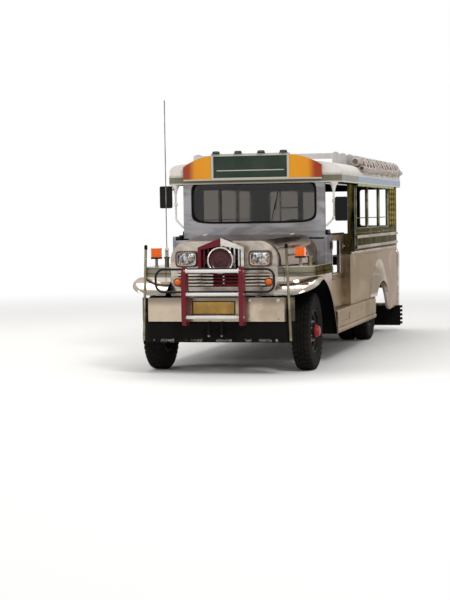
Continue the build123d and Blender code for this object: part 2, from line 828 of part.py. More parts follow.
# Roof rack: a low tray of sheet, its side boards with a scalloped upper edge
rack_half = body_half - 120
rack_front_y = front_axle_y + 1440
rack_end_y = roof_end_y - 60
rack_bottom = 2107
rack_top = 2235
rack_front_bottom = 2152
rack_sheet = 8
scallops = 9
scallop_depth = 22
with BuildPart() as roof_rack:
    pitch = (rack_end_y - rack_front_y) / scallops
    low = rack_top - scallop_depth
    with BuildSketch(side_plane(rack_half - rack_sheet)):
        with BuildLine():
            for step in range(scallops):
                y = rack_front_y + step * pitch
                ThreePointArc((y, low), (y + pitch / 2, rack_top), (y + pitch, low))
            Polyline(
                (rack_end_y, low), (rack_end_y, rack_bottom), (rack_front_y, rack_bottom),
                (rack_front_y, low),
            )
        make_face()
    extrude(amount=rack_sheet)
    mirror(roof_rack.part, about=Plane.YZ)
    for y in (rack_front_y, rack_end_y - rack_sheet):
        span((-rack_half, rack_half), (y, y + rack_sheet), (rack_front_bottom, low))

# Rolled rain curtains lashed along the roof's shoulders
curtain_front_y = pillar_y + 510
curtain_end_y = rack_end_y
curtain_radius = 50
curtain_lean = 20
with BuildPart() as side_curtains:
    centre = Vector(shoulder_x, shoulder_z) + Vector(0, shoulder_radius + curtain_radius + fit_gap).rotate(
        Axis.Z, -curtain_lean
    )
    with BuildSketch(front_plane(curtain_front_y)):
        for side in (-1, 1):
            with Locations((side * centre.X, centre.Y)):
                Circle(curtain_radius)
    extrude(amount=-(curtain_end_y - curtain_front_y))

# Signboard over the windscreen: a raised middle panel and wings that sweep back and fall outwards
sign_y = band_front_y - fit_gap
sign_depth = 34
sign_sweep = 70
sign_bottom = 1928
sign_half = frame_half - 19
sign_middle = 425
sign_middle_top = 2207
wing_top = 2190
wing_end_top = 2076
wing_bulge = 24
with BuildPart() as signboard:
    with BuildSketch(front_plane(sign_y)):
        with BuildLine():
            arc_mid = ((sign_half + sign_middle) / 2, (wing_top + wing_end_top) / 2 + wing_bulge)
            Polyline(
                (-sign_half, wing_end_top), (-sign_half, sign_bottom), (sign_half, sign_bottom),
                (sign_half, wing_end_top),
            )
            ThreePointArc((sign_half, wing_end_top), arc_mid, (sign_middle, wing_top))
            Polyline(
                (sign_middle, wing_top), (sign_middle, sign_middle_top), (-sign_middle, sign_middle_top),
                (-sign_middle, wing_top),
            )
            ThreePointArc((-sign_middle, wing_top), (-arc_mid[0], arc_mid[1]), (-sign_half, wing_end_top))
        make_face()
    extrude(amount=sign_depth + sign_sweep)
    with BuildSketch(Plane.XY.offset(sign_bottom - 10)):
        with BuildLine():
            end = sign_half + 5
            front = sign_y - sign_depth
            face = front - sign_sweep
            back = sign_y - sign_sweep
            Polyline(
                (-end, sign_y), (-end, front), (-sign_middle, face), (sign_middle, face),
                (end, front), (end, sign_y), (sign_middle, back), (-sign_middle, back), close=True,
            )
        make_face()
    extrude(amount=sign_middle_top - sign_bottom + 20, mode=Mode.INTERSECT)
    with BuildSketch(front_plane(front - sign_sweep + 1)):
        with Locations((0, (sign_bottom + sign_middle_top) / 2)):
            Rectangle(2 * sign_middle, sign_middle_top - sign_bottom)
            Rectangle(2 * sign_middle - 50, sign_middle_top - sign_bottom - 50, mode=Mode.SUBTRACT)
    extrude(amount=13)
    for side in (-1, 1):
        span(
            sorted((side * (sign_middle - 60), side * (sign_middle - 30))),
            (sign_y - sign_sweep - 1, sign_y),
            (sign_bottom + 10, sign_bottom + 40),
        )

# Hood: a lofted sheet lid, its front edge cut on an arc about the hinge so that it lifts clear of the nose
hinge_reach = hinge_y - nose_y - nose_depth
hood_sections = [
    # y, half width, top, corner radius
    (nose_y + nose_depth - 40, nose_half, nose_top, nose_corner),
    (cowl_y - moving_gap, hood_rear_half, hood_rear_top, 200),
]


def hood_section(y, half, top, corner, inset):
    low = hood_side_bottom - (30 if inset else 0)
    with BuildSketch(front_plane(y), mode=Mode.PRIVATE) as section:
        with BuildLine():
            x = half - inset
            z = top - inset
            r = corner - inset
            Polyline((-x, z - r), (-x, low), (x, low), (x, z - r))
            RadiusArc((x, z - r), (x - r, z), -r)
            Line((x - r, z), (-x + r, z))
            RadiusArc((-x + r, z), (-x, z - r), -r)
        make_face()
    return section.sketch


with BuildPart() as hood:
    loft([hood_section(*row, 0) for row in hood_sections], ruled=True)
    loft([hood_section(*row, sheet) for row in hood_sections], ruled=True, mode=Mode.SUBTRACT)
    with Locations(Plane(origin=(0, hinge_y, hinge_z), z_dir=(1, 0, 0))):
        Cylinder(hinge_reach - moving_gap, 2 * hood_rear_half + 20, mode=Mode.INTERSECT)
    for x in (-hinge_x, hinge_x):
        span(
            (x - hinge_width / 2, x + hinge_width / 2),
            (cowl_y - 60, hinge_y),
            (hood_rear_top - 6, hood_rear_top + 4),
        )
        barrel((x, hinge_y, hinge_z), (1, 0, 0), hinge_barrel, hinge_pin + running_gap, hinge_width)

# Nose: the shell that carries the grille and lamps
house_half = 205
house_reach = 121
house_rim = 28
house_foot = 1010
house_side_top = 1245
house_peak = 1300
slat_half = 485
slat_bottom = 852
slat_top = 990
lamp_x = 373
lamp_z = 1129
lamp_width = 224
lamp_height = 160
with BuildPart() as nose_shell:
    with BuildSketch(front_plane(nose_y)):
        with BuildLine():
            x = nose_half
            z = nose_top
            r = nose_corner
            Polyline((-x, z - r), (-x, nose_bottom), (x, nose_bottom), (x, z - r))
            RadiusArc((x, z - r), (x - r, z), -r)
            Line((x - r, z), (-x + r, z))
            RadiusArc((-x + r, z), (-x, z - r), -r)
        make_face()
    extrude(amount=-nose_depth)
    with BuildSketch(front_plane(nose_y + 16)):
        with BuildLine():
            x = nose_half - sheet
            z = nose_top - sheet
            r = nose_corner - sheet
            Polyline((-x, z - r), (-x, nose_bottom + sheet), (x, nose_bottom + sheet), (x, z - r))
            RadiusArc((x, z - r), (x - r, z), -r)
            Line((x - r, z), (-x + r, z))
            RadiusArc((-x + r, z), (-x, z - r), -r)
        make_face()
    extrude(amount=-nose_depth, mode=Mode.SUBTRACT)
    with BuildSketch(front_plane(nose_y - 1)):
        with BuildLine():
            Polyline(
                (-house_half, house_foot), (house_half, house_foot), (house_half, house_side_top - 20),
                (0, house_peak - 36), (-house_half, house_side_top - 20), close=True,
            )
        make_face()
        with Locations((0, (slat_bottom + slat_top) / 2)):
            RectangleRounded(2 * slat_half, slat_top - slat_bottom, 30)
    extrude(amount=-30, mode=Mode.SUBTRACT)
    for side in (-1, 1):
        span(
            sorted((side * rail_inner_x, side * rail_outer_x)),
            (nose_y + 18, nose_y + nose_depth),
            (rail_top + fit_gap, nose_bottom + 6),
        )

# Grille: the pointed surround with upright bars and a ring, and the level slats below
ring_z = 1116
ring_radius = 132
with BuildPart() as grille:
    with BuildSketch(front_plane(nose_y - fit_gap)):
        with BuildLine():
            outer = house_half + house_rim
            Polyline(
                (-outer, house_foot - 14), (outer, house_foot - 14), (outer, house_side_top),
                (0, house_peak + 36), (-outer, house_side_top), close=True,
            )
        make_face()
        with BuildLine():
            inner = house_half - 2
            shoulder = house_side_top - 22
            Polyline(
                (-inner, house_foot + 4), (inner, house_foot + 4), (inner, shoulder),
                (0, house_peak - 38), (-inner, shoulder), close=True,
            )
        make_face(mode=Mode.SUBTRACT)
    extrude(amount=house_reach)
    bar_face = nose_y - house_reach + 30
    for step in range(-4, 5):
        x = step * 44
        crest = house_side_top - 26 + (1 - abs(x) / house_half) * 40
        span((x - 7, x + 7), (bar_face, bar_face + 16), (house_foot - 6, crest))
    ring_y = nose_y - house_reach
    with Locations(Plane(origin=(0, ring_y + 8, ring_z), z_dir=(0, 1, 0))):
        Cylinder(ring_radius, 46)
        Cylinder(ring_radius - 16, 47, mode=Mode.SUBTRACT)
    with Locations(Plane(origin=(0, ring_y + 16, ring_z), z_dir=(0, 1, 0))):
        Cylinder(ring_radius - 15, 12)
    for step in range(4):
        z = slat_bottom + 20 + step * 33
        span((-slat_half - 12, slat_half + 12), (nose_y - 24, nose_y - fit_gap), (z - 7, z + 7))
    for x in (-slat_half + 10, 0, slat_half - 10):
        span((x - 8, x + 8), (nose_y - 14, nose_y - fit_gap), (slat_bottom + 10, slat_top - 5))

# Headlamps: rounded surrounds with the lens set in
with BuildPart() as headlights:
    for side in (-1, 1):
        with BuildSketch(front_plane(nose_y - fit_gap)):
            with Locations((side * lamp_x, lamp_z)):
                RectangleRounded(lamp_width, lamp_height, 34)
        extrude(amount=34)
        with BuildSketch(front_plane(nose_y - 24)):
            with Locations((side * lamp_x, lamp_z)):
                RectangleRounded(lamp_width - 26, lamp_height - 26, 24)
        extrude(amount=12, mode=Mode.SUBTRACT)

# Amber lamps: two round ones low on the nose and two on posts on the fenders
amber_x = 463
amber_z = 900
post_x = 740
post_y = front_axle_y - 207
post_lamp_z = 1184
post_lamp = (92, 70, 96)
with BuildPart() as amber_lamps:
    for side in (-1, 1):
        with Locations(Plane(origin=(side * amber_x, nose_y - 24.3, amber_z), z_dir=(0, -1, 0))):
            Cylinder(37, 24, align=(Align.CENTER, Align.CENTER, Align.MIN))
        with Locations((side * post_x, post_y, fender_top + fit_gap)):
            Cylinder(14, post_lamp_z - fender_top - fit_gap, align=(Align.CENTER, Align.CENTER, Align.MIN))
        with Locations((side * post_x, post_y, post_lamp_z)):
            Box(*post_lamp)

# Fenders: a flat-topped box with a bead, and below it the humped wing that wraps round the wheel
fender_inner_x = nose_half + fit_gap
fender_sheet = 12
lip_front = (front_axle_y - 600, 765)
lip_crest = (front_axle_y - 90, 912)
lip_tail = (front_axle_y + 650, fender_tail_z - 10)


def box_outline(inset):
    with BuildSketch(mode=Mode.PRIVATE) as plan:
        with BuildLine():
            right = fender_half - inset
            front = fender_front_y + inset
            rear = fender_rear_y - inset
            bend = fender_corner - inset
            Line((fender_inner_x, front), (right - bend, front))
            RadiusArc((right - bend, front), (right, front + bend), -bend)
            Polyline((right, front + bend), (right, rear), (fender_inner_x, rear), (fender_inner_x, front))
        make_face()
    return plan.sketch


def wing_form(inset):
    # the wing as a solid: a hump in side view, its front corner rounded in plan and its upper edge softened
    with BuildPart(mode=Mode.PRIVATE) as form:
        with BuildSketch(side_plane(fender_inner_x)):
            with BuildLine():
                crest = (wing_crest_y, wing_crest_z - inset)
                front = JernArc(crest, (-1, 0), wing_front_radius - inset, wing_front_turn)
                rear = JernArc(crest, (1, 0), wing_rear_radius - inset, -wing_rear_turn)
                foot = fender_tail_z - 40
                Polyline(front @ 1, ((front @ 1).X, foot), ((rear @ 1).X, foot), rear @ 1)
            make_face()
        extrude(amount=wing_half - inset - fender_inner_x)
        with BuildSketch(Plane.XY.offset(fender_tail_z - 60)):
            with BuildLine():
                right = wing_half - inset
                low = wing_front_y + inset
                bend = wing_corner - inset
                far = fender_rear_y + 100
                near = fender_inner_x - 10
                Line((near, low), (right - bend, low))
                RadiusArc((right - bend, low), (right, low + bend), -bend)
                Polyline((right, low + bend), (right, far), (near, far), (near, low))
            make_face()
        extrude(amount=wing_crest_z, mode=Mode.INTERSECT)
        sides = form.faces().filter_by(lambda face: face.center().X > fender_half)
        tops = form.faces().filter_by(GeomType.CYLINDER)
        tops = tops.filter_by(lambda face: abs(face.normal_at().Z) > 0.2)
        shared = [edge for edge in sides.edges() if edge in tops.edges()]
        fillet(shared, wing_edge - inset)
    return form.part


def fender(side):
    with BuildPart() as built:
        extrude(box_outline(0).moved(Location((0, 0, fender_tail_z))), amount=fender_top - fender_tail_z)
        extrude(box_outline(-6).moved(Location((0, 0, bead_z))), amount=14)
        extrude(
            box_outline(fender_sheet).moved(Location((0, 0, fender_tail_z - 1))),
            amount=fender_top - fender_sheet - fender_tail_z + 1,
            mode=Mode.SUBTRACT,
        )
        add(wing_form(0))
        add(wing_form(fender_sheet), mode=Mode.SUBTRACT)
        with BuildSketch(side_plane(fender_inner_x - 10)):
            with BuildLine():
                ThreePointArc(lip_front, (front_axle_y - 360, 866), lip_crest)
                ThreePointArc(lip_crest, (front_axle_y + 402, 660), lip_tail)
                Polyline(lip_tail, (lip_front[0], lip_tail[1]), lip_front)
            make_face()
        extrude(amount=500, mode=Mode.SUBTRACT)
        across = (fender_inner_x - 100, wing_half + 100)
        along = (wing_front_y - 100, fender_rear_y + 200)
        upward = (0, fender_top + 100)
        span(across, along, (0, fender_tail_z), mode=Mode.SUBTRACT)
        span(across, (fender_rear_y, fender_rear_y + 200), upward, mode=Mode.SUBTRACT)
        span((fender_inner_x - 100, fender_inner_x), along, upward, mode=Mode.SUBTRACT)
        if side < 0:
            mirror(built.part, about=Plane.YZ, mode=Mode.REPLACE)
    return built


fender_left = fender(1)
fender_right = fender(-1)

# Front bumper: a deep polished face with angled dark ends, carried on the rails
bumper_y = front_axle_y - 728
bumper_bottom = 531
bumper_top = 761
bumper_half = 680
bumper_end_half = 764
bumper_depth = 60
tow_eye_x = 65
tow_eye_y = bumper_y - 20
tow_eye_z = 412
tow_eye_plate = 14
tow_eye_radius = 12
with BuildPart() as bumper_front:
    with BuildSketch(Plane.XY.offset(bumper_bottom)):
        with BuildLine():
            Polyline(
                (-bumper_end_half, bumper_y + 90), (-bumper_half, bumper_y), (bumper_half, bumper_y),
                (bumper_end_half, bumper_y + 90), (bumper_end_half - 14, bumper_y + 96),
                (bumper_half - 20, bumper_y + 12), (-bumper_half + 20, bumper_y + 12),
                (-bumper_end_half + 14, bumper_y + 96), close=True,
            )
        make_face()
    extrude(amount=bumper_top - bumper_bottom)
    for low in (bumper_bottom, bumper_top - 10):
        span((-bumper_half, bumper_half), (bumper_y + 6, bumper_y + bumper_depth), (low, low + 10))
    for side in (-1, 1):
        span(
            sorted((side * rail_inner_x, side * rail_outer_x)),
            (bumper_y + 8, rail_front_y - fit_gap),
            (bumper_bottom, bumper_top - 5),
        )
        eye = side * tow_eye_x
        eye_face = Plane(origin=(eye, tow_eye_y, tow_eye_z), z_dir=(1, 0, 0))
        span(
            (eye - tow_eye_plate / 2, eye + tow_eye_plate / 2),
            (tow_eye_y - 30, bumper_y + 12),
            (tow_eye_z, bumper_bottom + 4),
        )
        with Locations(eye_face):
            Cylinder(30, tow_eye_plate)
        with Locations(eye_face):
            Cylinder(tow_eye_radius, tow_eye_plate + 2, mode=Mode.SUBTRACT)

# Dark apron below the bumper, bent back at its ends
apron_bottom = 327
with BuildPart() as front_apron:
    with BuildSketch(Plane.XY.offset(apron_bottom)):
        with BuildLine():
            Polyline(
                (-bumper_end_half + 16, bumper_y + 96), (-bumper_half + 8, bumper_y + 18),
                (bumper_half - 8, bumper_y + 18), (bumper_end_half - 16, bumper_y + 96),
                (bumper_end_half - 20, bumper_y + 101), (bumper_half - 11, bumper_y + 24),
                (-bumper_half + 11, bumper_y + 24), (-bumper_end_half + 20, bumper_y + 101), close=True,
            )
        make_face()
    extrude(amount=bumper_bottom - fit_gap - apron_bottom)

# Bull bar: two shaped uprights, three level tubes and a long loop across behind the uprights' edge
bar_x = 284
bar_y = front_axle_y - 838
bar_width = 42
bar_bottom = 498
bar_top = 1064
bar_back = 124
loop_half = 590
loop_y = front_axle_y - 760
loop_rows = (819, 1040)
with BuildPart() as bull_bar:
    for side in (-1, 1):
        with BuildSketch(side_plane(side * bar_x - bar_width / 2)):
            with BuildLine():
                front = -total_length / 2
                Polyline(
                    (front + 26, bar_bottom), (front, bar_bottom + 60), (front, bar_top - 70),
                    (front + 34, bar_top), (front + 70, bar_top), (front + bar_back, loop_rows[1] - 20),
                    (front + bar_back, bumper_top), (bumper_y - fit_gap, bumper_top),
                    (bumper_y - fit_gap, bar_bottom), close=True,
                )
            make_face()
        extrude(amount=bar_width)
    for z in (578, 799, 1022):
        rod((-bar_x, bar_y, z), (bar_x, bar_y, z), 17)
    tube(
        [
            (-loop_half, loop_y, loop_rows[0]), (loop_half, loop_y, loop_rows[0]),
            (loop_half, loop_y, loop_rows[1]), (-loop_half, loop_y, loop_rows[1]),
        ],
        11, 80, closed=True,
    )

# Guide poles that lean against the bumper's angled ends
pole_radius = 13
pole_foot = (735, 345)
pole_top = (700, 1265)
end_slope = 90 / (bumper_end_half - bumper_half)
with BuildPart() as guide_poles:
    rise = (bumper_top - pole_foot[1]) / (pole_top[1] - pole_foot[1])
    touch_x = pole_foot[0] + rise * (pole_top[0] - pole_foot[0])
    clear = (pole_radius + fit_gap) * (1 + end_slope**2) ** 0.5
    pole_y = bumper_y + (touch_x - bumper_half) * end_slope - clear
    for side in (-1, 1):
        foot = (side * pole_foot[0], pole_y, pole_foot[1])
        rod(foot, (side * pole_top[0], pole_y, pole_top[1]), pole_radius)

# Whip antenna on a spring foot, and a plain foot on the other side
antenna_x = -644
antenna_y = front_axle_y - 160
antenna_top = 2720
spare_foot_x = 826
with BuildPart() as whip_antenna:
    for x in (antenna_x, spare_foot_x):
        with Locations((x, antenna_y, fender_top + fit_gap)):
            Cylinder(22, 90, align=(Align.CENTER, Align.CENTER, Align.MIN))
        with Locations((x, antenna_y, fender_top + 84)):
            Cylinder(30, 14, align=(Align.CENTER, Align.CENTER, Align.MIN))
    rod((antenna_x, antenna_y, fender_top + 90), (antenna_x, antenna_y, antenna_top), 5)

# Mirrors: curved tubes from cowl to roof, each with a boxed mirror
mirror_rows = [
    # side, mirror centre x, mirror bottom, mirror top
    (1, body_half + 50, 1482, 1736),
    (-1, body_half + 66, 1642, 1880),
]
bow_x = cab_half + 30
bow_y = windscreen_y + 25
bow_foot_z = 1430
with BuildPart() as mirrors:
    for side, centre, low, high in mirror_rows:
        tube(
            [
                (side * (frame_half + 9), bow_y, bow_foot_z), (side * bow_x, bow_y, bow_foot_z + 84),
                (side * bow_x, bow_y, roof_bottom - fit_gap),
            ],
            11, 60,
        )
        with BuildSketch(front_plane(bow_y - 10)):
            with Locations((side * centre, (low + high) / 2)):
                RectangleRounded(134, high - low, 18)
        extrude(amount=30)
        rod((side * bow_x, bow_y, high - 40), (side * centre, bow_y - 15, high - 40), 8)

# Doors: half doors of two stiles and two rails round a slot, hinged at their front edge
door_rear_y = pillar_y - moving_gap
door_bottom = 860
slot_front_y = front_axle_y + 1024
slot_rear_y = front_axle_y + 1484
slot_bottom = 919
slot_top = 1266


leaf_rows = [
    # length, height
    ((door_front_y, slot_front_y), (door_bottom, door_top)),
    ((slot_rear_y, door_rear_y), (door_bottom, door_top)),
    ((slot_front_y + fit_gap, slot_rear_y - fit_gap), (door_bottom, slot_bottom)),
    ((slot_front_y + fit_gap, slot_rear_y - fit_gap), (slot_top, door_top)),
]


def door(side):
    with BuildPart() as built:
        for along, upward in leaf_rows:
            span((cab_half - cab_wall, cab_half), along, upward)
        for z in door_hinge_rows:
            limits = (z - door_hinge_height / 2, z + door_hinge_height / 2)
            span((cab_half - 1, door_hinge_x + 3), (door_hinge_y + 4, door_hinge_y + 36), limits)
            eye_place = (door_hinge_x, door_hinge_y, z)
            barrel(eye_place, (0, 0, 1), door_barrel, door_pin + running_gap, door_hinge_height)
        if side < 0:
            mirror(built.part, about=Plane.YZ, mode=Mode.REPLACE)
    return built


door_left = door(1)
door_right = door(-1)

# Cab sills under the doors
with BuildPart() as cab_sills:
    for side in (-1, 1):
        span(
            sorted((side * (cab_half - cab_wall), side * cab_half)),
            (cowl_y + 236 + fit_gap, pillar_y - fit_gap),
            (floor_bottom - 60, door_bottom - moving_gap),
        )

# Skirts: pressed sheet along the sides below the body, with a sunk panel and a rolled bead at the foot
skirt_half = body_half + 40
skirt_bottom = 306
skirt_top = body_bottom - fit_gap
skirt_wall = 14
skirt_front_y = fender_rear_y + 10
skirt_rear_y = rear_axle_y - opening_half(body_bottom) - 60
bead_height = 56
sunk_panel = (240, 750)
with BuildPart() as skirts:
    with BuildSketch(front_plane(skirt_front_y)):
        with BuildLine():
            inner = cab_half - 30
            wall = skirt_half - skirt_wall
            bead_top = skirt_bottom + bead_height
            Polyline(
                (skirt_half - 8, bead_top), (skirt_half, bead_top + 8), (skirt_half, skirt_top - 18),
                (skirt_half - 16, skirt_top), (inner, skirt_top), (inner, skirt_top - skirt_wall),
                (wall, skirt_top - skirt_wall), (wall, skirt_bottom + 20), (skirt_half - 40, skirt_bottom + 8),
                (skirt_half - 40, skirt_bottom), (skirt_half - 8, skirt_bottom),
            )
            ThreePointArc(
                (skirt_half - 8, skirt_bottom), (skirt_half + 8, bead_top - bead_height / 2),
                (skirt_half - 8, bead_top),
            )
        make_face()
    extrude(amount=-(skirt_rear_y - skirt_front_y))
    span(
        (skirt_half - 6, skirt_half + 10),
        (skirt_front_y + sunk_panel[0], skirt_front_y + sunk_panel[1]),
        (bead_top + 56, skirt_top - 52),
        mode=Mode.SUBTRACT,
    )
    mirror(skirts.part, about=Plane.YZ)

# Rear step with guards and the roof ladder
step_bottom = 330
step_top = 360
guard_x = (body_half - 340, body_half - 20)
guard_top = 1100
with BuildPart() as rear_step:
    span((-body_half, body_half), (body_end_y + fit_gap, body_end_y + 200), (step_bottom, step_top))
    span((-body_half, body_half), (body_end_y + 190, body_end_y + 204), (step_bottom - 30, step_top))
    for side in (-1, 1):
        span(
            sorted((side * rail_inner_x, side * rail_outer_x)),
            (rail_rear_y + fit_gap, body_end_y + 150),
            (step_top - 1, rail_top - 10),
        )
        guard_y = rear_axle_y + rear_reach - 22
        tube(
            [
                (side * guard_x[0], body_end_y + 180, step_top - 10), (side * guard_x[0], guard_y, guard_top),
                (side * guard_x[1], guard_y, guard_top), (side * guard_x[1], body_end_y + 180, step_top - 10),
            ],
            22, 110,
        )
        rod((side * guard_x[0], body_end_y + 212, 760), (side * guard_x[1], body_end_y + 212, 760), 16)

ladder_y = band_end_y + 24
ladder_x = (-700, -400)
ladder_top = 2208
with BuildPart() as roof_ladder:
    for x in ladder_x:
        tube(
            [
                (x, ladder_y, step_top + fit_gap), (x, ladder_y, ladder_top), (x, rack_end_y + fit_gap, ladder_top),
            ],
            13, 60,
        )
    for rung in range(5):
        z = 750 + rung * 300
        rod((ladder_x[0], ladder_y, z), (ladder_x[1], ladder_y, z), 11)

# Mud flaps below the rear step, their outer edges cut into teeth
flap_inner_x = 440
flap_outer_x = body_half + 60
flap_bottom = 62
flap_teeth = 5
with BuildPart() as mudflaps:
    with BuildSketch(front_plane(body_end_y + 60)):
        with BuildLine():
            flap_top = step_bottom - fit_gap
            pitch = (flap_top - flap_bottom) / flap_teeth
            edge = [(flap_outer_x, flap_top)]
            for tooth in range(flap_teeth):
                z = flap_top - tooth * pitch
                edge += [(flap_outer_x, z - pitch * 0.6), (flap_outer_x - 28, z - pitch * 0.6)]
                edge += [(flap_outer_x - 28, z - pitch), (flap_outer_x, z - pitch)]
            Polyline(*edge[:-1], (flap_inner_x, flap_bottom), (flap_inner_x, flap_top), close=True)
        make_face()
        mirror(about=Plane.YZ)
    extrude(amount=-8)

# Tail lamps on the rear wall
with BuildPart() as tail_lamps:
    for side in (-1, 1):
        with BuildSketch(front_plane(body_end_y + 18)):
            with Locations((side * 640, 1000)):
                RectangleRounded(150, 260, 20)
        extrude(amount=30 - fit_gap)

pieces = {
    "chassis_frame": chassis_frame,
    "front_axle": front_axle,
    "rear_axle": rear_axle,
    "leaf_springs": leaf_springs,
    "driveline": driveline,
    "exhaust": exhaust,
    "fuel_tank": fuel_tank,
    "cowl": cowl,
    "windscreen_frame": windscreen_frame,
    "windscreen_glass": windscreen_glass,
    "dashboard": dashboard,
    "steering_wheel": steering_wheel,
    "signboard": signboard,
    "roof_panel": roof_panel,
    "drip_band": drip_band,
    "roof_rack": roof_rack,
    "side_curtains": side_curtains,
    "body_side_left": body_side_left,
    "body_side_right": body_side_right,
    "side_trim": side_trim,
    "rear_wall": rear_wall,
    "floor": floor,
    "bench_bases": bench_bases,
    "benches": benches,
    "front_seats": front_seats,
    "seat_bases": seat_bases,
    "nose_shell": nose_shell,
    "grille": grille,
    "headlights": headlights,
    "amber_lamps": amber_lamps,
    "hood": hood,
    "fender_left": fender_left,
    "fender_right": fender_right,
    "bumper_front": bumper_front,
    "front_apron": front_apron,
    "bull_bar": bull_bar,
    "guide_poles": guide_poles,
    "whip_antenna": whip_antenna,
    "mirrors": mirrors,
    "door_left": door_left,
    "door_right": door_right,
    "cab_sills": cab_sills,
    "skirts": skirts,
    "rear_step": rear_step,
    "roof_ladder": roof_ladder,
    "mudflaps": mudflaps,
    "tail_lamps": tail_lamps,
    "knuckle_left": knuckle_left,
    "knuckle_right": knuckle_right,
    **wheels,
}
for name, built in pieces.items():
    built.part.label = name
    export_step(built.part, f"parts/{name}.step")
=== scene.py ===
import json
import math
import random

import bpy
from mathutils import Matrix, Vector, noise

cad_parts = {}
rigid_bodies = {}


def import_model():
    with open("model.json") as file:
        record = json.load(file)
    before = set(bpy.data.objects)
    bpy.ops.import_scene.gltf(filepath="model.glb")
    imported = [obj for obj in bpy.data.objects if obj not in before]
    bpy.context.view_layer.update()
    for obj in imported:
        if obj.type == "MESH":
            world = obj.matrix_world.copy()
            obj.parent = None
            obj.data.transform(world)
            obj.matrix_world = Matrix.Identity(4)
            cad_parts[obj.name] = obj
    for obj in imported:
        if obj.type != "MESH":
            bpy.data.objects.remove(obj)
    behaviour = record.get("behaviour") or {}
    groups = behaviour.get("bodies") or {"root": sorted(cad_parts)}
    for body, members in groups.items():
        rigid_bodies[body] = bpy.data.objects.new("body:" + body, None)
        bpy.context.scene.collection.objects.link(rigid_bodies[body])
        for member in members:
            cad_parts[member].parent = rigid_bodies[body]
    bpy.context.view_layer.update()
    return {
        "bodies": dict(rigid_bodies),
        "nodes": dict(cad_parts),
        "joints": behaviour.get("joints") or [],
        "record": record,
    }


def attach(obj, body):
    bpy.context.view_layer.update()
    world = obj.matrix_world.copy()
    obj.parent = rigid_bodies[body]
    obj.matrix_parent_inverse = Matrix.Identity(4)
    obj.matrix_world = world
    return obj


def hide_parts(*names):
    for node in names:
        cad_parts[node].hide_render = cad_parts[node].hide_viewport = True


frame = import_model()
nodes = frame["nodes"]
bpy.ops.object.select_all(action="DESELECT")

# camera of the photograph, in metres and radians
viewpoint = {
    "place": (3.873, -18.353, 1.554),
    "yaw": -0.244,
    "pitch": -0.052,
    "roll": -0.015,
    "lens": 97.235,
    "sensor": 36.0,
}
studio = {
    "floorColour": (0.8, 0.79, 0.77, 1),
    "floorHalf": 60.0,
    "floorFade": (5.0, 16.0),
    "skyLight": 0.7,
    "keyPower": 900.0,
    "fillPower": 300.0,
    "overheadPower": 380.0,
}


def addCamera(settings):
    yaw, pitch, roll = settings["yaw"], settings["pitch"], settings["roll"]
    ahead = Vector((math.sin(yaw) * math.cos(pitch), math.cos(yaw) * math.cos(pitch), math.sin(pitch)))
    level = ahead.cross(Vector((0, 0, 1))).normalized()
    upright = level.cross(ahead)
    right = level * math.cos(roll) + upright * math.sin(roll)
    up = upright * math.cos(roll) - level * math.sin(roll)
    bpy.ops.object.camera_add(location=settings["place"])
    camera = bpy.context.object
    camera.name = "photoCamera"
    camera.rotation_mode = "QUATERNION"
    camera.rotation_quaternion = Matrix((right, up, -ahead)).transposed().to_quaternion()
    camera.data.sensor_fit = "AUTO"
    camera.data.sensor_width = settings["sensor"]
    camera.data.lens = settings["lens"]
    camera.data.clip_end = 400
    bpy.context.scene.camera = camera
    print("camera set")


def addLamp(name, place, target, size, power, tint=(1, 1, 1)):
    bpy.ops.object.light_add(type="AREA", location=place)
    lamp = bpy.context.object
    lamp.name = name
    lamp.data.shape = "RECTANGLE"
    lamp.data.size, lamp.data.size_y = size
    lamp.data.energy = power
    lamp.data.color = tint
    lamp.rotation_euler = (Vector(target) - Vector(place)).to_track_quat("-Z", "Y").to_euler()
    return lamp


def seenRay(tree):
    # 1 for rays from the camera, straight on, off a mirror or through glass
    paths = tree.nodes.new("ShaderNodeLightPath")
    total = paths.outputs["Is Camera Ray"]
    for label in ("Is Glossy Ray", "Is Transmission Ray"):
        node = tree.nodes.new("ShaderNodeMath")
        node.operation = "MAXIMUM"
        tree.links.new(total, node.inputs[0])
        tree.links.new(paths.outputs[label], node.inputs[1])
        total = node.outputs[0]
    return total


def makeFloorMaterial(settings):
    # a pale floor that turns into the white of the background well away from the vehicle
    material = bpy.data.materials.new("studioFloor")
    material.use_nodes = True
    tree = material.node_tree
    shader = tree.nodes["Principled BSDF"]
    shader.inputs["Base Color"].default_value = settings["floorColour"]
    shader.inputs["Roughness"].default_value = 0.9
    coords = tree.nodes.new("ShaderNodeTexCoord")
    reach = tree.nodes.new("ShaderNodeVectorMath")
    reach.operation = "LENGTH"
    tree.links.new(coords.outputs["Object"], reach.inputs[0])
    fade = tree.nodes.new("ShaderNodeMapRange")
    fade.interpolation_type = "SMOOTHSTEP"
    fade.inputs["From Min"].default_value, fade.inputs["From Max"].default_value = settings["floorFade"]
    tree.links.new(reach.outputs["Value"], fade.inputs["Value"])
    blend = tree.nodes.new("ShaderNodeMath")
    blend.operation = "MULTIPLY"
    tree.links.new(fade.outputs["Result"], blend.inputs[0])
    tree.links.new(seenRay(tree), blend.inputs[1])
    white = tree.nodes.new("ShaderNodeEmission")
    mix = tree.nodes.new("ShaderNodeMixShader")
    tree.links.new(blend.outputs[0], mix.inputs[0])
    tree.links.new(shader.outputs[0], mix.inputs[1])
    tree.links.new(white.outputs[0], mix.inputs[2])
    tree.links.new(mix.outputs[0], tree.nodes["Material Output"].inputs["Surface"])
    return material


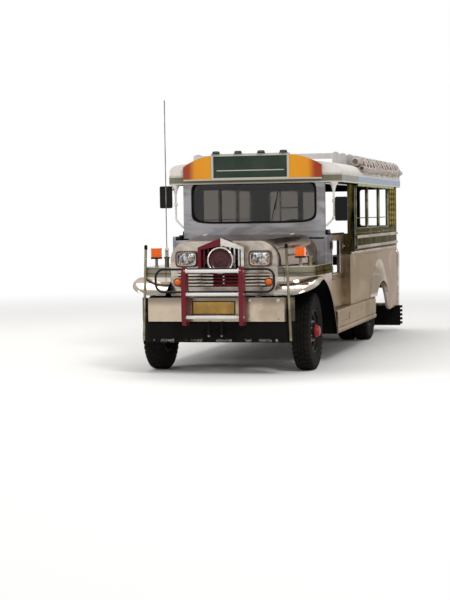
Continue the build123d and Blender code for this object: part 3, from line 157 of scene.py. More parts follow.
def addStudio(settings):
    bpy.context.scene.view_settings.view_transform = "Standard"
    world = bpy.data.worlds.new("studioWorld")
    bpy.context.scene.world = world
    world.use_nodes = True
    tree = world.node_tree
    background = tree.nodes["Background"]
    strength = tree.nodes.new("ShaderNodeMapRange")
    strength.inputs["To Min"].default_value = settings["skyLight"]
    strength.inputs["To Max"].default_value = 1.0
    tree.links.new(seenRay(tree), strength.inputs["Value"])
    tree.links.new(strength.outputs["Result"], background.inputs["Strength"])
    background.inputs["Color"].default_value = (1, 1, 1, 1)

    bpy.ops.mesh.primitive_plane_add(size=2 * settings["floorHalf"], location=(0, 0, 0))
    floor = bpy.context.object
    floor.name = "studioFloor"
    floor.data.materials.append(makeFloorMaterial(settings))
    addLamp("keyLamp", (7, -11, 10), (0, -1, 1), (3, 3), settings["keyPower"])
    addLamp("fillLamp", (-9, -6, 6), (0, 0, 1), (6, 6), settings["fillPower"])
    addLamp("overheadLamp", (-1.5, 3, 9.5), (0, 0, 1), (6, 4), settings["overheadPower"])
    print("studio set")


addCamera(viewpoint)
addStudio(studio)


# shader node groups shared by the materials
def newGroup(name, inputs, outputs):
    group = bpy.data.node_groups.new(name, "ShaderNodeTree")
    for label, kind, value in inputs:
        socket = group.interface.new_socket(label, in_out="INPUT", socket_type=kind)
        socket.default_value = value
    for label, kind in outputs:
        group.interface.new_socket(label, in_out="OUTPUT", socket_type=kind)
    start = group.nodes.new("NodeGroupInput")
    end = group.nodes.new("NodeGroupOutput")
    return group, start, end


def noiseNode(tree, vector, scale, detail=4.0, rough=0.6):
    node = tree.nodes.new("ShaderNodeTexNoise")
    node.inputs["Scale"].default_value = scale
    node.inputs["Detail"].default_value = detail
    node.inputs["Roughness"].default_value = rough
    if vector is not None:
        tree.links.new(vector, node.inputs["Vector"])
    return node


def mathNode(tree, operation, first, second=None, clamp=False):
    node = tree.nodes.new("ShaderNodeMath")
    node.operation = operation
    node.use_clamp = clamp
    for socket, value in zip(node.inputs, (first, second)):
        if isinstance(value, (int, float)):
            socket.default_value = value
        elif value is not None:
            tree.links.new(value, socket)
    return node.outputs[0]


def rangeNode(tree, value, low, high, toLow=0.0, toHigh=1.0, smooth=False):
    node = tree.nodes.new("ShaderNodeMapRange")
    node.interpolation_type = "SMOOTHSTEP" if smooth else "LINEAR"
    tree.links.new(value, node.inputs["Value"])
    for label, number in (("From Min", low), ("From Max", high), ("To Min", toLow), ("To Max", toHigh)):
        if isinstance(number, (int, float)):
            node.inputs[label].default_value = number
        else:
            tree.links.new(number, node.inputs[label])
    return node.outputs["Result"]


def mixColour(tree, factor, first, second, blend="MIX"):
    node = tree.nodes.new("ShaderNodeMix")
    node.data_type = "RGBA"
    node.blend_type = blend
    for socket, value in ((node.inputs[0], factor), (node.inputs[6], first), (node.inputs[7], second)):
        if isinstance(value, (int, float, tuple)):
            socket.default_value = value
        else:
            tree.links.new(value, socket)
    return node.outputs[2]


def scaledCoords(tree, scale):
    coords = tree.nodes.new("ShaderNodeTexCoord")
    mapping = tree.nodes.new("ShaderNodeMapping")
    if isinstance(scale, tuple):
        mapping.inputs["Scale"].default_value = scale
    else:
        tree.links.new(scale, mapping.inputs["Scale"])
    tree.links.new(coords.outputs["Object"], mapping.inputs["Vector"])
    return mapping.outputs["Vector"]


def objectAxes(tree):
    coords = tree.nodes.new("ShaderNodeTexCoord")
    split = tree.nodes.new("ShaderNodeSeparateXYZ")
    tree.links.new(coords.outputs["Object"], split.inputs[0])
    return split.outputs


def makeGrimeGroup():
    # patchy colour change with road dust that thickens towards the ground
    group, start, end = newGroup(
        "roadGrime",
        [
            ("Colour", "NodeSocketColor", (0.5, 0.5, 0.5, 1)),
            ("Dust", "NodeSocketColor", (0.3, 0.25, 0.2, 1)),
            ("Amount", "NodeSocketFloat", 0.3),
            ("Patch Scale", "NodeSocketFloat", 6.0),
            ("Dust Top", "NodeSocketFloat", 1.0),
        ],
        [("Colour", "NodeSocketColor"), ("Mask", "NodeSocketFloat")],
    )
    coords = group.nodes.new("ShaderNodeTexCoord")
    patch = noiseNode(group, coords.outputs["Object"], 6.0, 6.0, 0.65)
    group.links.new(start.outputs["Patch Scale"], patch.inputs["Scale"])
    height = rangeNode(group, objectAxes(group)["Z"], 0.0, start.outputs["Dust Top"], 1.0, 0.0, True)
    spots = rangeNode(group, patch.outputs["Fac"], 0.38, 0.68, 0.0, 1.0, True)
    low = mathNode(group, "MULTIPLY", height, mathNode(group, "ADD", spots, 0.35), True)
    thin = mathNode(group, "MULTIPLY", spots, 0.35)
    both = mathNode(group, "MAXIMUM", low, thin)
    mask = mathNode(group, "MULTIPLY", both, start.outputs["Amount"], True)
    colour = mixColour(group, mask, start.outputs["Colour"], start.outputs["Dust"])
    group.links.new(colour, end.inputs["Colour"])
    group.links.new(mask, end.inputs["Mask"])
    return group


def makeRippleGroup():
    # the slow waves and fine scratches of hand-beaten sheet, as a height, and bands of painted reflection
    # laid over them
    group, start, end = newGroup(
        "sheetRipple",
        [
            ("Wave Scale", "NodeSocketFloat", 3.0),
            ("Scratch", "NodeSocketFloat", 0.2),
            ("Stretch", "NodeSocketVector", (0.8, 0.45, 2.4)),
        ],
        [("Height", "NodeSocketFloat"), ("Streak", "NodeSocketFloat"), ("Reflection Band", "NodeSocketFloat")],
    )
    coords = group.nodes.new("ShaderNodeTexCoord")
    wave = noiseNode(group, coords.outputs["Object"], 3.0, 1.0, 0.4)
    group.links.new(start.outputs["Wave Scale"], wave.inputs["Scale"])
    streak = noiseNode(group, scaledCoords(group, (1.0, 1.0, 9.0)), 22.0, 6.0, 0.7)
    fine = mathNode(group, "MULTIPLY", streak.outputs["Fac"], start.outputs["Scratch"])
    height = mathNode(group, "ADD", wave.outputs["Fac"], fine)
    # painted reflection: stretched noise bands that stand in for reflected horizon lines
    band = noiseNode(group, scaledCoords(group, start.outputs["Stretch"]), 2.6, 3.0, 0.55)
    band.inputs["Distortion"].default_value = 0.9
    level = rangeNode(group, band.outputs["Fac"], 0.4, 0.62, 0.0, 1.0, True)
    group.links.new(height, end.inputs["Height"])
    group.links.new(streak.outputs["Fac"], end.inputs["Streak"])
    group.links.new(level, end.inputs["Reflection Band"])
    return group


grimeGroup = makeGrimeGroup()
rippleGroup = makeRippleGroup()


def newMaterial(name):
    material = bpy.data.materials.new(name)
    material.use_nodes = True
    tree = material.node_tree
    return material, tree, tree.nodes["Principled BSDF"]


def groupNode(tree, group, **values):
    node = tree.nodes.new("ShaderNodeGroup")
    node.node_tree = group
    for label, value in values.items():
        socket = node.inputs[label.replace("_", " ")]
        if isinstance(value, (int, float, tuple)):
            socket.default_value = value
        else:
            tree.links.new(value, socket)
    return node


def addGrime(tree, shader, colour, dust, amount, patchScale, dustTop):
    # colours the shader through the grime group and gives back how much dust lies where
    grime = groupNode(tree, grimeGroup, Colour=colour, Dust=dust, Amount=amount, Patch_Scale=patchScale,
                      Dust_Top=dustTop)
    tree.links.new(grime.outputs["Colour"], shader.inputs["Base Color"])
    return grime.outputs["Mask"]


def addBump(tree, shader, height, distance):
    bump = tree.nodes.new("ShaderNodeBump")
    bump.inputs["Distance"].default_value = distance
    tree.links.new(height, bump.inputs["Height"])
    tree.links.new(bump.outputs["Normal"], shader.inputs["Normal"])


def edgeMask(tree, value, start, end):
    # 1 between start and end along one axis
    over = mathNode(tree, "GREATER_THAN", value, start)
    under = mathNode(tree, "LESS_THAN", value, end)
    return mathNode(tree, "MULTIPLY", over, under)


def edgeTone(bright, deep):
    # the tint of a metal seen along its surface, between its two tones
    return tuple(0.6 * first + 0.4 * second for first, second in zip(bright, deep))


def sheetMetal(name, bright, deep, amount=0.4, rough=0.2, metallic=1.0, wave=3.0, depth=0.004, dustTop=1.0,
               stretch=(0.8, 0.45, 2.4), shade=None, zones=()):
    # polished sheet: banded from bright to deep in painted reflection, dusted low down, streaked in its
    # roughness, wavy;
    # shade is (height, height, factor), the colour's factor at the second height, painted light: painted
    # shade low on the fenders and a painted dark reflection along the bumper's top;
    # a zone is (axis, from, to, softness, bright, deep), other tones between two places along an axis
    material, tree, shader = newMaterial(name)
    ripple = groupNode(tree, rippleGroup, Wave_Scale=wave, Scratch=0.05, Stretch=stretch)
    # painted reflection: the colour moves between the deep and bright tones along the reflection bands
    tone = mixColour(tree, ripple.outputs["Reflection Band"], deep, bright)
    axes = objectAxes(tree)
    edge = edgeTone(bright, deep)
    shader.inputs["Specular Tint"].default_value = edge
    for axis, low, high, soft, zoneBright, zoneDeep in zones:
        start = rangeNode(tree, axes[axis], low - soft, low + soft, 0.0, 1.0, True)
        end = rangeNode(tree, axes[axis], high - soft, high + soft, 1.0, 0.0, True)
        inside = mathNode(tree, "MULTIPLY", start, end)
        tone = mixColour(tree, inside, tone, mixColour(tree, ripple.outputs["Reflection Band"], zoneDeep, zoneBright))
        edge = mixColour(tree, inside, edge, edgeTone(zoneBright, zoneDeep))
        tree.links.new(edge, shader.inputs["Specular Tint"])
    if shade:
        # painted light: the colour is scaled by height, as painted shade or painted dark reflection
        level = rangeNode(tree, axes["Z"], shade[0], shade[1], 1.0, shade[2], True)
        tone = mixColour(tree, 1.0, tone, level, "MULTIPLY")
    mask = addGrime(tree, shader, tone, roadDust, amount, 5.0, dustTop)
    base = rangeNode(tree, ripple.outputs["Streak"], 0.3, 0.7, rough * 0.75, rough * 1.25)
    total = mathNode(tree, "ADD", base, mathNode(tree, "MULTIPLY", mask, 0.45), True)
    tree.links.new(total, shader.inputs["Roughness"])
    dull = mathNode(tree, "MULTIPLY", mask, -metallic * 0.8)
    tree.links.new(mathNode(tree, "ADD", dull, metallic, True), shader.inputs["Metallic"])
    addBump(tree, shader, ripple.outputs["Height"], depth)
    return material


def plainFinish(name, colour, dust, amount, rough, metallic=0.0, coat=0.0, grain=0.0, grainScale=60.0,
                dustTop=1.0, shine=0.25):
    # paint, plastic and rubber: grime over one colour with an optional grain
    material, tree, shader = newMaterial(name)
    mask = addGrime(tree, shader, colour, dust, amount, 7.0, dustTop)
    tree.links.new(rangeNode(tree, mask, 0.0, 1.0, rough, min(1.0, rough + 0.4)), shader.inputs["Roughness"])
    shader.inputs["Metallic"].default_value = metallic
    shader.inputs["Coat Weight"].default_value = coat
    shader.inputs["Specular IOR Level"].default_value = shine
    if grain:
        coords = tree.nodes.new("ShaderNodeTexCoord")
        texture = noiseNode(tree, coords.outputs["Object"], grainScale, 3.0, 0.6)
        addBump(tree, shader, texture.outputs["Fac"], grain)
    return material


def lensFinish(name, colour, glow=0.0):
    # moulded lens: upright flutes in colour and height, with painted shade darkening their furrows
    material, tree, shader = newMaterial(name)
    ribs = tree.nodes.new("ShaderNodeTexWave")
    ribs.inputs["Scale"].default_value = 45.0
    tree.links.new(scaledCoords(tree, (1.0, 0.15, 0.02)), ribs.inputs["Vector"])
    furrowShade = tuple(channel * 0.55 for channel in colour[:3]) + (1,)
    tint = mixColour(tree, ribs.outputs["Fac"], furrowShade, colour)
    tree.links.new(tint, shader.inputs["Base Color"])
    shader.inputs["Roughness"].default_value = 0.12
    shader.inputs["Specular IOR Level"].default_value = 0.4
    if glow:
        tree.links.new(tint, shader.inputs["Emission Color"])
        shader.inputs["Emission Strength"].default_value = glow
    addBump(tree, shader, ribs.outputs["Fac"], 0.0015)
    return material


def reflectorFinish(name, bright, deep, warm):
    # fluted glass over a silvered bowl: broken bright and dark cells of painted reflection with a few warm
    # ones, dimmed in the flutes by painted shade
    material, tree, shader = newMaterial(name)
    flutes = tree.nodes.new("ShaderNodeTexWave")
    flutes.inputs["Scale"].default_value = 22.0
    flutes.inputs["Distortion"].default_value = 1.5
    tree.links.new(scaledCoords(tree, (1.0, 0.1, 0.25)), flutes.inputs["Vector"])
    cells = tree.nodes.new("ShaderNodeTexVoronoi")
    cells.inputs["Scale"].default_value = 42.0
    tree.links.new(scaledCoords(tree, (1.3, 0.2, 0.9)), cells.inputs["Vector"])
    split = tree.nodes.new("ShaderNodeSeparateColor")
    tree.links.new(cells.outputs["Color"], split.inputs[0])
    light = rangeNode(tree, split.outputs[0], 0.25, 0.75)
    light = mathNode(tree, "MULTIPLY", light, rangeNode(tree, flutes.outputs["Fac"], 0.0, 1.0, 0.7, 1.0))
    tone = mixColour(tree, light, deep, bright)
    tone = mixColour(tree, mathNode(tree, "GREATER_THAN", split.outputs[1], 0.84), tone, warm)
    tree.links.new(tone, shader.inputs["Base Color"])
    shader.inputs["Metallic"].default_value = 0.5
    shader.inputs["Roughness"].default_value = 0.1
    addBump(tree, shader, flutes.outputs["Fac"], 0.002)
    return material


def signFinish(settings):
    # enamelled sign: a dark panel in a pale frame, orange wings that redden outwards, cream edges
    material, tree, shader = newMaterial("signEnamel")
    axes = objectAxes(tree)
    side, height = mathNode(tree, "ABSOLUTE", axes["X"]), axes["Z"]
    blend = rangeNode(tree, side, settings["orangeEnd"], settings["redStart"], 0.0, 1.0, True)
    wing = mixColour(tree, blend, settings["orange"], settings["red"])
    sheen = rangeNode(tree, side, settings["panel"], settings["orangeEnd"], 0.75, 1.0)
    wing = mixColour(tree, sheen, settings["amber"], wing)
    foot = mathNode(tree, "LESS_THAN", height, settings["foot"] + settings["edge"])
    wing = mixColour(tree, foot, wing, settings["cream"])
    inPanel = mathNode(tree, "LESS_THAN", side, settings["panel"])
    inner = mathNode(tree, "LESS_THAN", side, settings["panel"] - settings["frame"])
    rise = edgeMask(tree, height, settings["foot"] + settings["frame"], settings["top"] - settings["frame"])
    field = mathNode(tree, "MULTIPLY", inner, rise)
    line = edgeMask(tree, height, *settings["line"])
    lineIn = mathNode(tree, "MULTIPLY", line, mathNode(tree, "LESS_THAN", side, settings["lineEnd"]))
    green = mixColour(tree, lineIn, settings["green"], settings["cream"])
    panel = mixColour(tree, field, settings["cream"], green)
    paint = mixColour(tree, inPanel, wing, panel)
    mask = addGrime(tree, shader, paint, roadDust, 0.15, 5.0, 3.2)
    tree.links.new(rangeNode(tree, mask, 0.0, 1.0, 0.3, 0.75), shader.inputs["Roughness"])
    shader.inputs["Specular IOR Level"].default_value = 0.25
    return material


def bandFinish(settings):
    # roof edge band: a pale lip above, painted along the cabin and bare along the cab, where its dark olive
    # is a painted dark reflection, a pale hem below
    material, tree, shader = newMaterial("bandPaint")
    axes = objectAxes(tree)
    isCab = mathNode(tree, "LESS_THAN", axes["Y"], settings["cabEnd"])
    middle = mixColour(tree, isCab, settings["paint"], settings["bare"])
    isField = edgeMask(tree, axes["Z"], settings["hem"], settings["lip"])
    colour = mixColour(tree, isField, settings["pale"], middle)
    mask = addGrime(tree, shader, colour, roadDust, 0.35, 5.0, 3.2)
    tree.links.new(rangeNode(tree, mask, 0.0, 1.0, 0.3, 0.7), shader.inputs["Roughness"])
    shader.inputs["Metallic"].default_value = 0.3
    shader.inputs["Specular IOR Level"].default_value = 0.3
    return material


def glassFinish(name, tint, rough):
    # clear glass with faint upright smears in its gloss
    material, tree, shader = newMaterial(name)
    smear = noiseNode(tree, scaledCoords(tree, (1.0, 1.0, 2.0)), 5.0, 5.0, 0.6)
    tree.links.new(rangeNode(tree, smear.outputs["Fac"], 0.35, 0.7, rough, rough + 0.08),
                   shader.inputs["Roughness"])
    shader.inputs["Base Color"].default_value = tint
    shader.inputs["Transmission Weight"].default_value = 1.0
    shader.inputs["IOR"].default_value = 1.45
    return material


roadDust = (0.3, 0.235, 0.17, 1)
soot = (0.06, 0.05, 0.04, 1)
signPaint = {
    "panel": 0.425, "frame": 0.026, "foot": 1.928, "top": 2.207, "edge": 0.016, "line": (2.025, 2.035),
    "lineEnd": 0.365, "orangeEnd": 0.6, "redStart": 0.7,
    "amber": (0.68, 0.37, 0.004, 1), "orange": (0.62, 0.23, 0.003, 1), "red": (0.26, 0.026, 0.003, 1),
    "cream": (0.4, 0.39, 0.33, 1), "green": (0.006, 0.022, 0.014, 1),
}
finishes = {
    "hoodMetal": sheetMetal("hoodSteel", (0.62, 0.55, 0.5, 1), (0.4, 0.34, 0.3, 1), 0.3, 0.16),
    # painted shade: the wings darken below 0.9 m, to 0.35 of their colour at 0.7 m
    "fenderMetal": sheetMetal("fenderSteel", (0.68, 0.62, 0.57, 1), (0.42, 0.37, 0.33, 1), 0.25, 0.1,
                              wave=2.0, stretch=(0.6, 0.5, 3.6), shade=(0.9, 0.7, 0.35), zones=(
                                  # painted dark reflection: the wing's front face is dark olive between 0.947
                                  # and 1.043 m
                                  ("Z", 0.947, 1.043, 0.004, (0.23, 0.21, 0.155, 1), (0.12, 0.11, 0.08, 1)),
                                  # painted shadow: a thin near-black line under the bead at about 0.98 m
                                  ("Z", 0.9805, 0.9865, 0.001, (0.03, 0.028, 0.02, 1),
                                   (0.02, 0.018, 0.014, 1)))),
    "polished": sheetMetal("polishedSteel", (0.5, 0.44, 0.38, 1), (0.33, 0.29, 0.25, 1), 0.45, 0.2,
                           stretch=(0.9, 0.45, 0.6)),
    "noseMetal": sheetMetal("noseSteel", (0.6, 0.53, 0.46, 1), (0.4, 0.35, 0.3, 1), 0.3, 0.2, wave=2.5),
    "bodyMetal": sheetMetal("bodySteel", (0.54, 0.465, 0.375, 1), (0.34, 0.28, 0.215, 1), 0.35, 0.14,
                            stretch=(0.6, 0.3, 0.45), zones=(
                                ("Y", 1.3, 4.0, 0.5, (0.6, 0.51, 0.44, 1), (0.38, 0.305, 0.25, 1)),
                                ("Z", 1.108, 3.0, 0.002, (0.19, 0.18, 0.09, 1), (0.1, 0.094, 0.046, 1)),
                                # painted shade: the sides' parts within 0.8 m of the middle are near black,
                                # for the shade inside the cabin
                                ("X", -0.8, 0.8, 0.01, (0.02, 0.02, 0.02, 1), (0.015, 0.015, 0.015, 1)))),
    # painted reflection: a bluish bright tone and a near-black deep tone stand in for blue and dark
    # reflections in chrome
    "flareMetal": sheetMetal("flareChrome", (0.56, 0.6, 0.67, 1), (0.08, 0.075, 0.07, 1), 0.15, 0.08,
                             stretch=(1.0, 1.4, 1.6)),
    "doorMetal": sheetMetal("doorSteel", (0.44, 0.38, 0.31, 1), (0.2, 0.165, 0.125, 1), 0.35, 0.22),
    "skirtMetal": sheetMetal("skirtSteel", (0.52, 0.44, 0.35, 1), (0.3, 0.245, 0.185, 1), 0.4, 0.18,
                             stretch=(0.6, 0.3, 0.45)),
    # painted dark reflection: the bumper darkens towards its top, to 0.42 of its colour at 0.75 m
    "bumperMetal": sheetMetal("bumperSteel", (0.58, 0.48, 0.375, 1), (0.42, 0.335, 0.25, 1), 0.55, 0.17,
                              wave=5.0, stretch=(1.1, 1.0, 0.8), shade=(0.66, 0.75, 0.42)),
    # painted dark reflection: a darker copy of the steel for the bumper's angled ends
    "endReflectionMetal": sheetMetal("darkReflectionSteel", (0.13, 0.12, 0.08, 1), (0.05, 0.045, 0.03, 1), 0.2, 0.2),
    "chrome": sheetMetal("chromeTrim", (0.72, 0.69, 0.65, 1), (0.5, 0.47, 0.43, 1), 0.35, 0.12, depth=0.001),
    "railMetal": sheetMetal("railTrim", (0.7, 0.64, 0.58, 1), (0.34, 0.29, 0.24, 1), 0.3, 0.14, depth=0.001),
    "cowlMetal": sheetMetal("cowlSteel", (0.42, 0.42, 0.46, 1), (0.22, 0.21, 0.215, 1), 0.2, 0.2),
    "screenMetal": sheetMetal("screenSteel", (0.33, 0.325, 0.34, 1), (0.2, 0.19, 0.19, 1), 0.2, 0.32, 0.8),
    "greySteel": sheetMetal("greySteel", (0.26, 0.25, 0.24, 1), (0.17, 0.16, 0.15, 1), 0.3, 0.4, 0.7),
    "poleMetal": sheetMetal("poleSteel", (0.28, 0.25, 0.17, 1), (0.12, 0.105, 0.07, 1), 0.4, 0.3,
                            dustTop=1.6),
    "zinc": sheetMetal("zincPlate", (0.5, 0.48, 0.44, 1), (0.35, 0.33, 0.3, 1), 0.5, 0.35, dustTop=0.7),
    "bronze": sheetMetal("bronzePanel", (0.24, 0.2, 0.09, 1), (0.15, 0.125, 0.055, 1), 0.3, 0.3),
    "gold": sheetMetal("goldTrim", (0.46, 0.38, 0.17, 1), (0.34, 0.27, 0.11, 1), 0.25, 0.24),
    "mirrorGlass": sheetMetal("mirrorGlass", (0.7, 0.71, 0.72, 1), (0.66, 0.67, 0.68, 1), 0.1, 0.03,
                              depth=0.0001),
    "windowMetal": sheetMetal("windowMetal", (0.36, 0.36, 0.27, 1), (0.14, 0.14, 0.09, 1), 0.2, 0.3, 0.9),
    "roofWhite": plainFinish("roofWhite", (0.66, 0.62, 0.59, 1), (0.38, 0.34, 0.3, 1), 0.4, 0.5, dustTop=3.4),
    "boardWhite": plainFinish("boardWhite", (0.52, 0.49, 0.49, 1), (0.24, 0.2, 0.18, 1), 0.75, 0.5,
                              dustTop=3.4),
    "tubeWhite": plainFinish("tubeWhite", (0.62, 0.6, 0.58, 1), (0.25, 0.2, 0.17, 1), 0.4, 0.3, coat=0.3),
    # the bare cab part's dark olive is a painted dark reflection
    "bandBlue": bandFinish({
        "cabEnd": -0.35, "hem": 1.905, "lip": 1.97, "paint": (0.15, 0.24, 0.37, 1),
        "bare": (0.12, 0.115, 0.075, 1), "pale": (0.46, 0.43, 0.38, 1)}),
    "valance": plainFinish("valanceGreen", (0.36, 0.36, 0.16, 1), (0.22, 0.2, 0.14, 1), 0.5, 0.45,
                           dustTop=3.2),
    "crimson": plainFinish("crimsonPaint", (0.12, 0.005, 0.013, 1), soot, 0.3, 0.35, shine=0.2),
    "ringRed": plainFinish("ringEnamel", (0.05, 0.005, 0.008, 1), soot, 0.15, 0.3, coat=0.2, dustTop=2.0),
    "hubRed": plainFinish("hubPaint", (0.27, 0.006, 0.009, 1), soot, 0.25, 0.35, coat=0.1),
    "bezelBrown": plainFinish("bezelPaint", (0.09, 0.04, 0.028, 1), soot, 0.35, 0.35, coat=0.1, dustTop=2.0),
    "plateGold": plainFinish("platePaint", (0.5, 0.29, 0.06, 1), soot, 0.5, 0.4, dustTop=1.6),
    "chassis": plainFinish("chassisBlack", (0.004, 0.004, 0.004, 1), (0.016, 0.013, 0.01, 1), 0.5, 0.8,
                           grain=0.002, shine=0.12),
    "castSteel": plainFinish("castSteel", (0.012, 0.011, 0.01, 1), (0.03, 0.024, 0.018, 1), 0.6, 0.65, 0.3,
                             grain=0.003),
    "blackPlastic": plainFinish("blackPlastic", (0.004, 0.004, 0.004, 1), soot, 0.06, 0.45, grain=0.0006,
                                grainScale=300, shine=0.15),
    "blackPaint": plainFinish("blackPaint", (0.004, 0.004, 0.005, 1), soot, 0.12, 0.35, shine=0.2),
    "rubber": plainFinish("rubberBlack", (0.003, 0.003, 0.003, 1), (0.01, 0.008, 0.006, 1), 0.5, 0.85,
                          grain=0.001, shine=0.1),
    "tyre": plainFinish("tyreRubber", (0.004, 0.0036, 0.0033, 1), (0.018, 0.014, 0.01, 1), 0.5, 0.85,
                        grain=0.001, grainScale=120, dustTop=0.9, shine=0.12),
    "wheelBlack": plainFinish("wheelBlack", (0.005, 0.0048, 0.005, 1), (0.04, 0.03, 0.022, 1), 0.35, 0.4,
                              shine=0.2),
    # painted shade: a near-black lining that stands in for the shade inside the cabin
    "shadeLining": plainFinish("cabinLiningShade", (0.01, 0.0095, 0.0095, 1), soot, 0.2, 0.7, grain=0.001, dustTop=3.0,
                          shine=0.12),
    # underseal made near black, partly its own colour and partly painted shade for the wheel wells
    "undersealShade": plainFinish("undersealShade", (0.0025, 0.0025, 0.0025, 1), (0.007, 0.006, 0.005, 1), 0.5, 0.95,
                             grain=0.003, shine=0.05),
    "vinyl": plainFinish("seatVinyl", (0.07, 0.012, 0.014, 1), soot, 0.2, 0.42, grain=0.0008, grainScale=260),
    "piping": plainFinish("seatPiping", (0.2, 0.18, 0.16, 1), soot, 0.3, 0.5),
    "tarp": plainFinish("rolledTarp", (0.5, 0.42, 0.38, 1), (0.16, 0.125, 0.1, 1), 0.8, 0.8, grain=0.004,
                        grainScale=30, dustTop=3.4),
    "rope": plainFinish("ropeGrey", (0.16, 0.14, 0.12, 1), soot, 0.5, 0.8, grain=0.001, grainScale=220),
    "fringe": plainFinish("fringePale", (0.3, 0.3, 0.28, 1), (0.02, 0.018, 0.016, 1), 0.95, 0.8),
    "floorSteel": plainFinish("floorSteel", (0.04, 0.037, 0.034, 1), soot, 0.4, 0.5, 0.8, grain=0.002,
                              grainScale=40),
    "amber": lensFinish("amberLens", (0.9, 0.15, 0.006, 1), 0.15),
    "redLens": lensFinish("redLens", (0.4, 0.008, 0.008, 1), 0.08),
    "markerGreen": lensFinish("markerGreen", (0.012, 0.045, 0.036, 1)),
    "lampGlass": reflectorFinish("lampGlass", (0.62, 0.65, 0.68, 1), (0.08, 0.085, 0.09, 1),
                                 (0.4, 0.22, 0.1, 1)),
    "signEnamel": signFinish(signPaint),
    "glass": glassFinish("windscreenGlass", (0.1, 0.088, 0.078, 1), 0.01),
    "tint": glassFinish("tintFilm", (0.05, 0.06, 0.06, 1), 0.05),
}

nodeFinish = {
    "chassis": ["chassis_frame", "fuel_tank", "bench_bases", "seat_bases"],
    "castSteel": ["front_axle", "rear_axle", "leaf_springs", "driveline", "exhaust", "knuckle_left",
                  "knuckle_right"],
    "polished": ["rear_wall"],
    "fenderMetal": ["fender_left", "fender_right"],
    "hoodMetal": ["hood"],
    "bodyMetal": ["body_side_left", "body_side_right"],
    "skirtMetal": ["cab_sills", "skirts"],
    "doorMetal": ["door_left", "door_right"],
    "bumperMetal": ["bumper_front"],
    "cowlMetal": ["cowl"],
    "screenMetal": ["windscreen_frame"],
    "glass": ["windscreen_glass"],
    "blackPlastic": ["dashboard", "steering_wheel", "mirrors"],
    "signEnamel": ["signboard"],
    "roofWhite": ["roof_panel"],
    "boardWhite": ["roof_rack"],
    "bandBlue": ["drip_band"],
    "tarp": ["side_curtains"],
    "railMetal": ["side_trim"],
    "poleMetal": ["guide_poles", "whip_antenna"],
    "chrome": ["grille", "rear_step", "roof_ladder"],
    "bezelBrown": ["headlights"],
    "floorSteel": ["floor"],
    "vinyl": ["benches", "front_seats"],
    "noseMetal": ["nose_shell"],
    "amber": ["amber_lamps"],
    "redLens": ["tail_lamps"],
    "rubber": ["front_apron", "mudflaps"],
    "blackPaint": ["bull_bar"],
    "tyre": ["tyre_front_left", "tyre_front_right", "tyre_rear_left", "tyre_rear_right"],
    "wheelBlack": ["rim_front_left", "rim_front_right", "rim_rear_left", "rim_rear_right"],
}
for finish, names in nodeFinish.items():
    for name in names:
        nodes[name].data.materials.clear()
        nodes[name].data.materials.append(finishes[finish])
print("finishes set")


# modelling helpers: start from a primitive, shape it in edit mode, leave it at the origin unturned
def clearSelection():
    if bpy.context.object is not None and bpy.context.object.mode != "OBJECT":
        bpy.ops.object.mode_set(mode="OBJECT")
    bpy.ops.object.select_all(action="DESELECT")


def pick(piece):
    clearSelection()
    piece.select_set(True)
    bpy.context.view_layer.objects.active = piece


def place(piece, location=(0, 0, 0), turn=(0, 0, 0)):
    # turn is in degrees; afterwards the object is back at the origin with its place in the mesh
    pick(piece)
    piece.location = location
    piece.rotation_euler = [math.radians(angle) for angle in turn]
    bpy.ops.object.transform_apply(location=True, rotation=True, scale=True)
    return piece


facing = {
    "front": (90, 0, 0), "rear": (-90, 0, 0), "left": (0, 90, 0), "right": (0, -90, 0),
}


def ringStack(rows, segments=32, square=2.0):
    # a ring drawn out along z; each row is (height, half width, half depth);
    # equal first and last rows close it
    clearSelection()
    height, wide, deep = rows[0]
    bpy.ops.mesh.primitive_circle_add(vertices=segments, radius=1)
    piece = bpy.context.object
    for vertex in piece.data.vertices:
        angle = math.atan2(vertex.co.y, vertex.co.x)
        across, along = math.cos(angle), math.sin(angle)
        vertex.co.x = wide * math.copysign(abs(across) ** (2 / square), across)
        vertex.co.y = deep * math.copysign(abs(along) ** (2 / square), along)
        vertex.co.z = height
    bpy.ops.object.mode_set(mode="EDIT")
    bpy.ops.mesh.select_all(action="SELECT")
    for nextHeight, nextWide, nextDeep in rows[1:]:
        bpy.ops.mesh.extrude_edges_move(TRANSFORM_OT_translate={"value": (0, 0, nextHeight - height)})
        bpy.ops.transform.resize(value=(nextWide / wide, nextDeep / deep, 1),
                                 center_override=(0, 0, nextHeight))
        height, wide, deep = nextHeight, nextWide, nextDeep
    bpy.ops.mesh.select_all(action="SELECT")
    bpy.ops.mesh.remove_doubles(threshold=0.00002)
    bpy.ops.mesh.fill_holes(sides=0)
    bpy.ops.mesh.select_all(action="SELECT")
    bpy.ops.mesh.normals_make_consistent(inside=False)
    bpy.ops.object.mode_set(mode="OBJECT")
    return piece


def roundStack(rows, segments=32):
    return ringStack([(height, radius, radius) for height, radius in rows], segments)


def modify(piece, kind, **settings):
    pick(piece)
    bpy.ops.object.modifier_add(type=kind)
    modifier = piece.modifiers[-1]
    for label, value in settings.items():
        setattr(modifier, label, value)
    bpy.ops.object.modifier_apply(modifier=modifier.name)
    return piece


def block(low, high, edge=0.003, segments=2):
    clearSelection()
    middle = [(a + b) / 2 for a, b in zip(low, high)]
    bpy.ops.mesh.primitive_cube_add(size=1, location=middle)
    piece = bpy.context.object
    piece.scale = [b - a for a, b in zip(low, high)]
    bpy.ops.object.transform_apply(location=True, rotation=True, scale=True)
    if edge:
        modify(piece, "BEVEL", width=edge, segments=segments, limit_method="ANGLE")
    return piece


